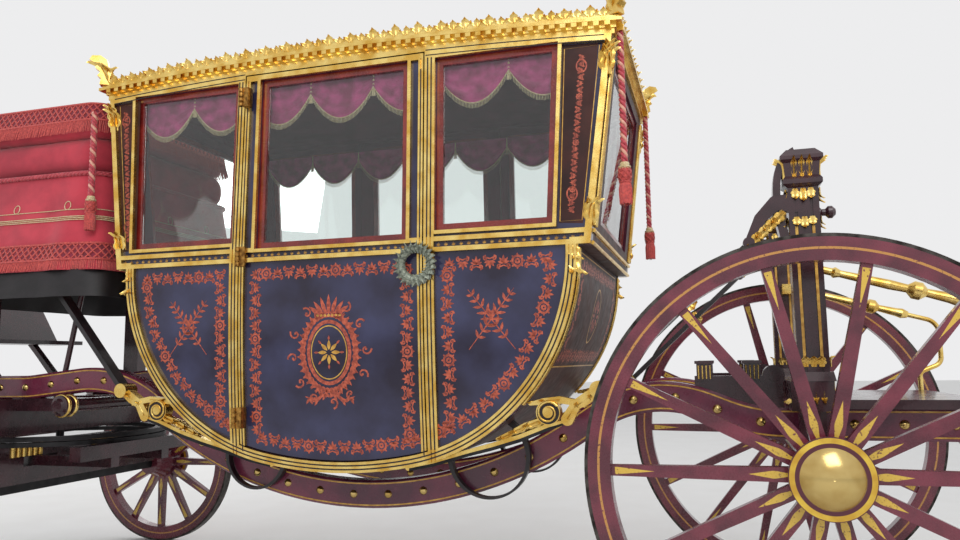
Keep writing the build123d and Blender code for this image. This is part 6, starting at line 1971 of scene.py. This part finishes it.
@dataclass
class Drape:
    """Cloth that hangs round the driver's seat, its folds deeper towards the foot."""

    table: Sequence[tuple[float, ...]]
    depth: float
    waves: int = 19
    seed: int = 5

    def ring(self, z: float, count: int, lift: float = 0.0) -> list[Vector]:
        """Points round the cloth at a height, anticlockwise from above, lifted off it.

        Args:
            z: The height.
            count: How many points.
            lift: Distance out from the cloth.

        Returns:
            The points.
        """
        half_x, half_y, radius, ahead = table_at(self.table, z)
        corners = []
        for sx, sy, first in ((1, 1, 0), (-1, 1, 90), (-1, -1, 180), (1, -1, 270)):
            for k in range(9):
                turn = math.radians(first + 90 * k / 8)
                corners.append((sx * (half_x - radius) + math.cos(turn) * radius,
                                sy * (half_y - radius) + math.sin(turn) * radius))
        top, foot = max(r[0] for r in self.table), min(r[0] for r in self.table)
        fall = min(1.0, max(0.0, (top - z) / (top - foot))) ** 1.3
        draw = random.Random(self.seed)
        parts = [(draw.uniform(0.7, 1.4) * self.waves, draw.uniform(0, 6.28), draw.uniform(0.3, 1.0))
                 for _ in range(5)]
        made = []
        for index, (place, way) in enumerate(evenly(corners, sum_length(corners) / count, closed=True)):
            share = index / count
            wave = sum(size * math.sin(2 * math.pi * round(rate) * share + start)
                       for rate, start, size in parts) / 2.4
            out = Vector((way.y, -way.x, 0))
            spot = Vector((SEAT_X + ahead + place.x, place.y, z))
            made.append(spot + out * (wave * self.depth * fall + lift))
        return made

    def cloth(self, name: str, high: float, low: float, finish: Surface, rows: int = 18) -> Piece:
        """The hanging cloth as a thin sheet.

        Args:
            name: The piece's name.
            high: Z of its top.
            low: Z of its foot.
            finish: Its finish.
            rows: Runs from top to foot.

        Returns:
            The cloth.
        """
        shell = Shell()
        shell.grid([self.ring(high + (low - high) * j / rows, 300) for j in range(rows + 1)], around=True)
        return shell.piece(name, sewn(finish), 60, thick=0.0022)

    def net(self, shell: Shell, high: float, low: float, pitch: float, cord: float, lift: float) -> None:
        """A diamond net of cords between two heights, edged with a cord above and below.

        Args:
            shell: What takes it.
            high: Z of its top.
            low: Z of its foot.
            pitch: Width of a mesh.
            cord: The cord's radius.
            lift: Distance out from the cloth.
        """
        count = round(sum_length([p.to_2d() for p in self.ring(high, 60)]) / pitch)
        steps = 4
        levels = [self.ring(high + (low - high) * j / steps, count * steps, lift) for j in range(steps + 1)]
        total = count * steps
        for start in range(count):
            for way in (1, -1):
                line = [levels[j][(start * steps + way * j * 2) % total] for j in range(steps + 1)]
                shell.tube(line, cord, sides=4)
        for level in (levels[0], levels[-1]):
            shell.tube(level[::2], cord * 1.5, sides=5, closed=True)

    def ground(self, shell: Shell, high: float, low: float, lift: float) -> None:
        """A plain band of cloth behind a net."""
        shell.grid([self.ring(high + (low - high) * j / 3, 240, lift) for j in range(4)], around=True)

    def fringe(self, shell: Shell, high: float, low: float, pitch: float, lift: float,
               flare: float = 0.0) -> None:
        """Threads that hang in small bunches from a height.

        Args:
            shell: What takes it.
            high: Z where it hangs.
            low: Z of its foot.
            pitch: Distance between two threads.
            lift: Distance out from the cloth.
            flare: How much further out its foot is.
        """
        draw = random.Random(self.seed + 1)
        count = round(sum_length([p.to_2d() for p in self.ring(high, 60)]) / pitch)
        upper, lower = self.ring(high, count, lift), self.ring(low, count, lift + flare)
        for index, (a, b) in enumerate(zip(upper, lower)):
            foot = b + Vector((draw.uniform(-2, 2), draw.uniform(-2, 2), draw.uniform(-4, 3))) * MM
            foot.z = b.z + draw.uniform(-0.001, 0.004)
            shell.tube([a, a.lerp(foot, 0.5) + (b - a) * 0.02, foot], [0.0032, 0.0034, 0.0026], sides=4)


def sum_length(outline: Sequence[Sequence[float]]) -> float:
    """The length of a closed outline."""
    points = [Vector(p) for p in outline]
    return sum((b - a).length for a, b in zip(points, points[1:] + points[:1]))


def stuffed(name: str, half: Point, radius: float, levels: tuple[float, float], edge: float, ahead: float,
            taper: float, voxel: float, cap: float) -> Piece:
    """A stuffed cushion: a rounded slab that swells under cloth simulation.

    Args:
        name: The piece's name.
        half: Half length and half width.
        radius: The plan's corner radius.
        levels: Lower and upper Z.
        edge: Rounding of the upper and lower edges.
        ahead: Distance ahead of the seat's middle.
        taper: How much narrower the top is than the foot.
        voxel: Size of the remesh.
        cap: The furthest that a point may move.

    Returns:
        The cushion's object.
    """
    low, high = levels
    bpy.ops.object.select_all(action="DESELECT")
    bpy.ops.mesh.primitive_cube_add(size=1.0, location=(0, 0, 0))
    pad = bpy.context.object
    pad.name = name
    for vertex in pad.data.vertices:
        shrink = taper if vertex.co.z > 0 else 0.0
        vertex.co = Vector((SEAT_X + ahead + vertex.co.x * 2 * (half[0] - shrink),
                            vertex.co.y * 2 * (half[1] - shrink), (low + high) / 2 + vertex.co.z * (high - low)))
    weights = pad.data.attributes.new("bevel_weight_edge", "FLOAT", "EDGE")
    for edge_row, weight in zip(pad.data.edges, weights.data):
        a, b = (pad.data.vertices[i].co for i in edge_row.vertices)
        weight.value = 1.0 if abs(a.z - b.z) > 0.01 else 0.0
    modify(pad, "BEVEL", limit_method="WEIGHT", width=radius, segments=8)
    modify(pad, "BEVEL", limit_method="ANGLE", angle_limit=math.radians(50), width=edge, segments=5)
    modify(pad, "REMESH", mode="VOXEL", voxel_size=voxel)
    swell(pad, cap)
    return pad


def swell(pad: Piece, cap: float) -> None:
    """Blows a pad up by cloth simulation, with no point moved further than a cap.

    Args:
        pad: The closed pad.
        cap: The furthest that a point may move.
    """
    start = [v.co.copy() for v in pad.data.vertices]
    cloth = pad.modifiers.new("cloth", "CLOTH")
    cloth.settings.use_pressure = True
    cloth.settings.uniform_pressure_force = 4.0
    cloth.settings.effector_weights.gravity = 0.0
    cloth.settings.quality = 4
    cloth.collision_settings.use_collision = False
    for step in range(1, 21):
        bpy.context.scene.frame_set(step)
    select_only(pad)
    bpy.ops.object.modifier_apply(modifier=cloth.name)
    for vertex, before in zip(pad.data.vertices, start):
        move = vertex.co - before
        if move.length > cap:
            vertex.co = before + move.normalized() * cap
    bpy.context.scene.frame_set(1)


@dataclass
class DriverSeat:
    """The draped driver's seat: skirt, under-cloth, roll, top cushion, laces, fringes and a twisted band."""

    lattice: float = 0.036
    thread_pitch: float = 0.0085
    foot_band: Point = (1.806, 1.722)
    top_band: Point = (2.560, 2.470)
    pale_levels: Point3 = (1.952, 1.943, 1.934)
    top_table: tuple[tuple[float, ...], ...] = (
        (2.380, 0.462, 0.572, 0.125, 0.0), (2.560, 0.436, 0.546, 0.110, 0.0))

    def build(self) -> None:
        """Makes the cloths, pads and trimmings."""
        skirt = Drape(SKIRT, 0.012)
        under = Drape(UNDER_CLOTH, 0.009, 15, 9)
        cloth = skirt.cloth("hammercloth_skirt", 2.180, 1.667, CLOTH)
        lining = under.cloth("hammercloth_under_cloth", 1.690, 1.532, BLACK_CLOTH, rows=8)
        lace, ground, fine = Shell(), Shell(), Shell()
        head, foot = self.foot_band
        skirt.net(lace, head, foot, self.lattice, 0.0046, 0.006)
        skirt.ground(ground, head, foot, 0.003)
        backing = ground.piece("hammercloth_lace_ground", sewn(VELVET), 60, thick=0.0008)
        skirt.fringe(lace, foot, 1.668, self.thread_pitch, 0.005)
        foot_lace = lace.piece("hammercloth_foot_lace", sewn(LACE), 60)
        for z in self.pale_levels:
            fine.tube(skirt.ring(z, 150, 0.003), 0.0045, sides=5, closed=True, flat=0.6)
        fine.tube(self.looped(skirt), 0.0022, sides=5, closed=True)
        pale = fine.piece("hammercloth_pale_lace", sewn(PALE_LACE), 60)
        for piece in (cloth, lining, foot_lace, pale, backing):
            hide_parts("hammercloth")
        self.cushions()

    @staticmethod
    def looped(skirt: Drape) -> list[Vector]:
        """The embroidered line: straight runs with a small upright loop in each.

        Args:
            skirt: The cloth that it is sewn to.

        Returns:
            The line's points, closed.
        """
        steps, run = 14, 40
        levels = [1.988 + 0.023 * (1 - math.cos(2 * math.pi * k / steps)) for k in range(steps // 2 + 1)]
        rings = [skirt.ring(level, 480, 0.004) for level in levels]
        made = []
        for start in range(0, 480, run):
            made += rings[0][start:start + run // 2]
            for k in range(1, steps):
                place = start + run / 2 + 2.2 * math.sin(2 * math.pi * k / steps)
                level, index = rings[min(k, steps - k)], int(place)
                made.append(level[index].lerp(level[(index + 1) % 480], place - index))
            made += rings[0][start + run // 2 + 1:start + run]
        return made

    def cushions(self) -> None:
        """The roll, the top cushion with its lace and fringe, and the twisted band at the waist."""
        roll = stuffed("driver_roll", (0.452, 0.562), 0.13, (2.196, 2.386), 0.075, 0.0, 0.0, 0.011, 0.014)
        top = stuffed("driver_top_cushion", (0.448, 0.558), 0.12, (2.392, 2.570), 0.045, 0.0, 0.028,
                      0.011, 0.010)
        for pad in (roll, top):
            modify(pad, "SUBSURF", levels=1, render_levels=1)
            settle(pad, sewn(CLOTH), 60)
            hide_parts("driver_cushion")
        cover = Drape(self.top_table, 0.0)
        lace, ground, band = Shell(), Shell(), Shell()
        head, foot = self.top_band
        cover.net(lace, head, foot, self.lattice, 0.0046, 0.005)
        cover.ground(ground, head, foot, 0.003)
        cover.fringe(lace, foot, 2.398, self.thread_pitch, 0.006, 0.006)
        count = 900
        line = Drape(SKIRT, 0.0).ring(2.184, count, 0.008)
        for strand in range(3):
            twist = []
            for index, spot in enumerate(line):
                turn = 2 * math.pi * (strand / 3 + 56 * index / count)
                way = (line[(index + 1) % count] - spot).normalized()
                out = Vector((way.y, -way.x, 0))
                twist.append(spot + out * math.cos(turn) * 0.0062 + Vector((0, 0, math.sin(turn) * 0.0062)))
            band.tube(twist[::2], 0.0068, sides=6, closed=True)
        for name, shell, finish in (("driver_top_lace", lace, LACE), ("driver_waist_band", band, SILK),
                                    ("driver_top_lace_ground", ground, VELVET)):
            made = shell.piece(name, sewn(finish), 60)
            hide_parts("driver_cushion")


@dataclass
class CabinUpholstery:
    """Benches with buttoned backs, and festooned valances inside the windows' heads."""

    depth: float = 0.430
    back_thick: float = 0.090
    levels: tuple[float, float, float, float] = (0.905, 1.090, 1.240, 1.715)
    swags: int = 7
    swag_pitch: float = 0.320
    valance_levels: Point = (2.498, 2.305)

    def build(self) -> None:
        """Makes both benches and both valances."""
        for word, way in (("rear", -1), ("front", 1)):
            self.bench(word, way)
        for side in Side:
            self.valance(side)

    @staticmethod
    def quilted(name: str, rows: int, columns: int, place: Callable[[float, float, float], Vector]) -> Piece:
        """A closed buttoned pad.

        Args:
            name: The pad's name.
            rows: Rows of buttons.
            columns: Buttons in a row.
            place: The point for shares across, along and through the pad.

        Returns:
            The pad.
        """
        shell = Shell()
        across, along = rows * 8, columns * 8
        for through in (1, 0):
            grid = []
            for j in range(across + 1):
                row = []
                for i in range(along + 1):
                    u, v = i / along, j / across
                    edge = (1 - (2 * u - 1) ** 16) * (1 - (2 * v - 1) ** 8)
                    rise, fall = math.pi * (u * columns + v * rows), math.pi * (u * columns - v * rows)
                    tuft = abs(math.sin(rise)) * abs(math.sin(fall))
                    row.append(place(u, v, through * max(0.0, edge) ** 0.5 * (0.72 + 0.28 * tuft ** 0.5)))
                grid.append(row)
            shell.grid(grid)
        made = mesh_piece(name, shell.verts, shell.faces)
        with chosen_faces(made, lambda face: True):
            bpy.ops.mesh.remove_doubles(threshold=0.0004)
            bpy.ops.mesh.normals_make_consistent(inside=False)
        return made

    def outer(self, z: float, way: int, inward: float = 0.0) -> float:
        """X just inside an end wall at a height, moved inwards by an amount."""
        return BODY_X + way * (end_half_length(z) - WALL - 0.0015 - inward)

    def bench(self, word: str, way: int) -> None:
        """One bench that follows its end wall: a cloth-covered base, a crowned seat cushion and a buttoned back.

        Args:
            word: The end's name.
            way: One at the front, minus one at the rear.
        """
        foot, low, high, head = self.levels
        inner = BODY_X + way * (BELT_HALF - WALL - self.depth)

        def seat_point(u: float, v: float, t: float) -> Vector:
            """A point of the seat cushion."""
            z = low + 0.003 + t * (high - low - 0.004)
            back = self.outer(low, way, self.back_thick + 0.002)
            return Vector((inner + (back - inner) * v, (2 * u - 1) * (side_half_width(low) - WALL - 0.004), z))

        def back_point(u: float, v: float, t: float) -> Vector:
            """A point of the back."""
            z = low + 0.003 + v * (head - low - 0.004)
            return Vector((self.outer(z, way, t * (self.back_thick - 0.002)),
                           (2 * u - 1) * (side_half_width(min(z, BELT_Z)) - WALL - 0.004), z))

        for pad in (self.quilted(f"cabin_seat_{word}", 3, 8, seat_point),
                    self.quilted(f"cabin_back_{word}", 4, 8, back_point)):
            settle(pad, sewn(VELVET), 60)
            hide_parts("seats")
        shell = Shell()
        rows = []
        for step in range(7):
            z = foot + (low - foot) * step / 6
            half = side_half_width(z) - WALL - 0.003
            outer = self.outer(z, way)
            rows.append([Vector((inner, half, z)), Vector((inner, -half, z)),
                         Vector((outer, -half, z)), Vector((outer, half, z))])
        shell.grid(rows, around=True)
        shell.faces += [(0, 1, 2, 3), tuple(len(shell.verts) - 1 - k for k in range(4))]
        base = mesh_piece(f"cabin_bench_{word}", shell.verts, shell.faces)
        bake_place(base)
        modify(base, "BEVEL", limit_method="ANGLE", width=0.004, segments=2)
        settle(base, sewn(LINING))
        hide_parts("seats")

    def valance(self, side: Side) -> None:
        """A row of swags with tails between them, edged with fringe.

        Args:
            side: The coach's side.
        """
        high, low = self.valance_levels
        cloth, trim = Shell(), Shell()
        first = BODY_X - self.swags * self.swag_pitch / 2
        draw = random.Random(side.word)
        for index in range(self.swags):
            left = first + index * self.swag_pitch
            rows, across = 11, 16
            grid = []
            for j in range(rows + 1):
                row = []
                for i in range(across + 1):
                    u, v = i / across, j / rows
                    sag = 4 * u * (1 - u)
                    z = high - v * (high - low) * (0.28 + 0.68 * sag)
                    fold = 0.0055 * math.sin(v * 19 + 1.6 * sag) * (0.35 + 0.65 * sag)
                    inner = side.value * (side_half_width(z) - WALL - 0.0078 - fold)
                    row.append(Vector((left + u * self.swag_pitch, inner, z)))
                grid.append(row)
            cloth.grid(grid)
            for a, b in zip(grid[-1], grid[-1][1:]):
                for share in (0.0, 0.34, 0.67):
                    spot = a.lerp(b, share)
                    thread = [spot + Vector((0, 0, 0.003)), spot + Vector((0, 0, -draw.uniform(0.022, 0.026)))]
                    trim.tube(thread, 0.0016, sides=4)
            trim.tube(grid[-1], 0.0032, sides=5)
            for k in range(5):
                spot = grid[0][0] + Vector((0, -side.value * 0.001, 0))
                turn = k * 1.2566
                tail = [Vector(), Vector((math.cos(turn) * 0.004, 0, -0.050)),
                        Vector((math.cos(turn) * 0.007, math.sin(turn) * 0.003, -0.098))]
                trim.tube([spot + point for point in tail], 0.0030, sides=4)
        sheet = cloth.piece(f"valance_{side.word}", sewn(SWAG), 70, thick=0.0014)
        fringe = trim.piece(f"valance_fringe_{side.word}", sewn(PALE_LACE), 60)
        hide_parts("valances")
        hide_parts("valances")


def main() -> None:
    """Builds the view first, then the ropes, the finishes, the ornament and the drapery."""
    logging.basicConfig(level=logging.INFO, format="%(message)s")
    Photographer().build()
    RopesAndTassels().build()
    NodeFinishes().build()
    CabinOrnament().build()
    carving = GiltCarving()
    carving.build()
    CarriageTrim().build()
    StandardsTrim(carving.carver).build()
    DriverSeat().build()
    CabinUpholstery().build()
    boxes = {"cad": CAD_BOX, "visual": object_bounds()}
    {name: [[float(v) for v in corner] for corner in box] for name, box in boxes.items()}


if __name__ == "__main__":
    main()
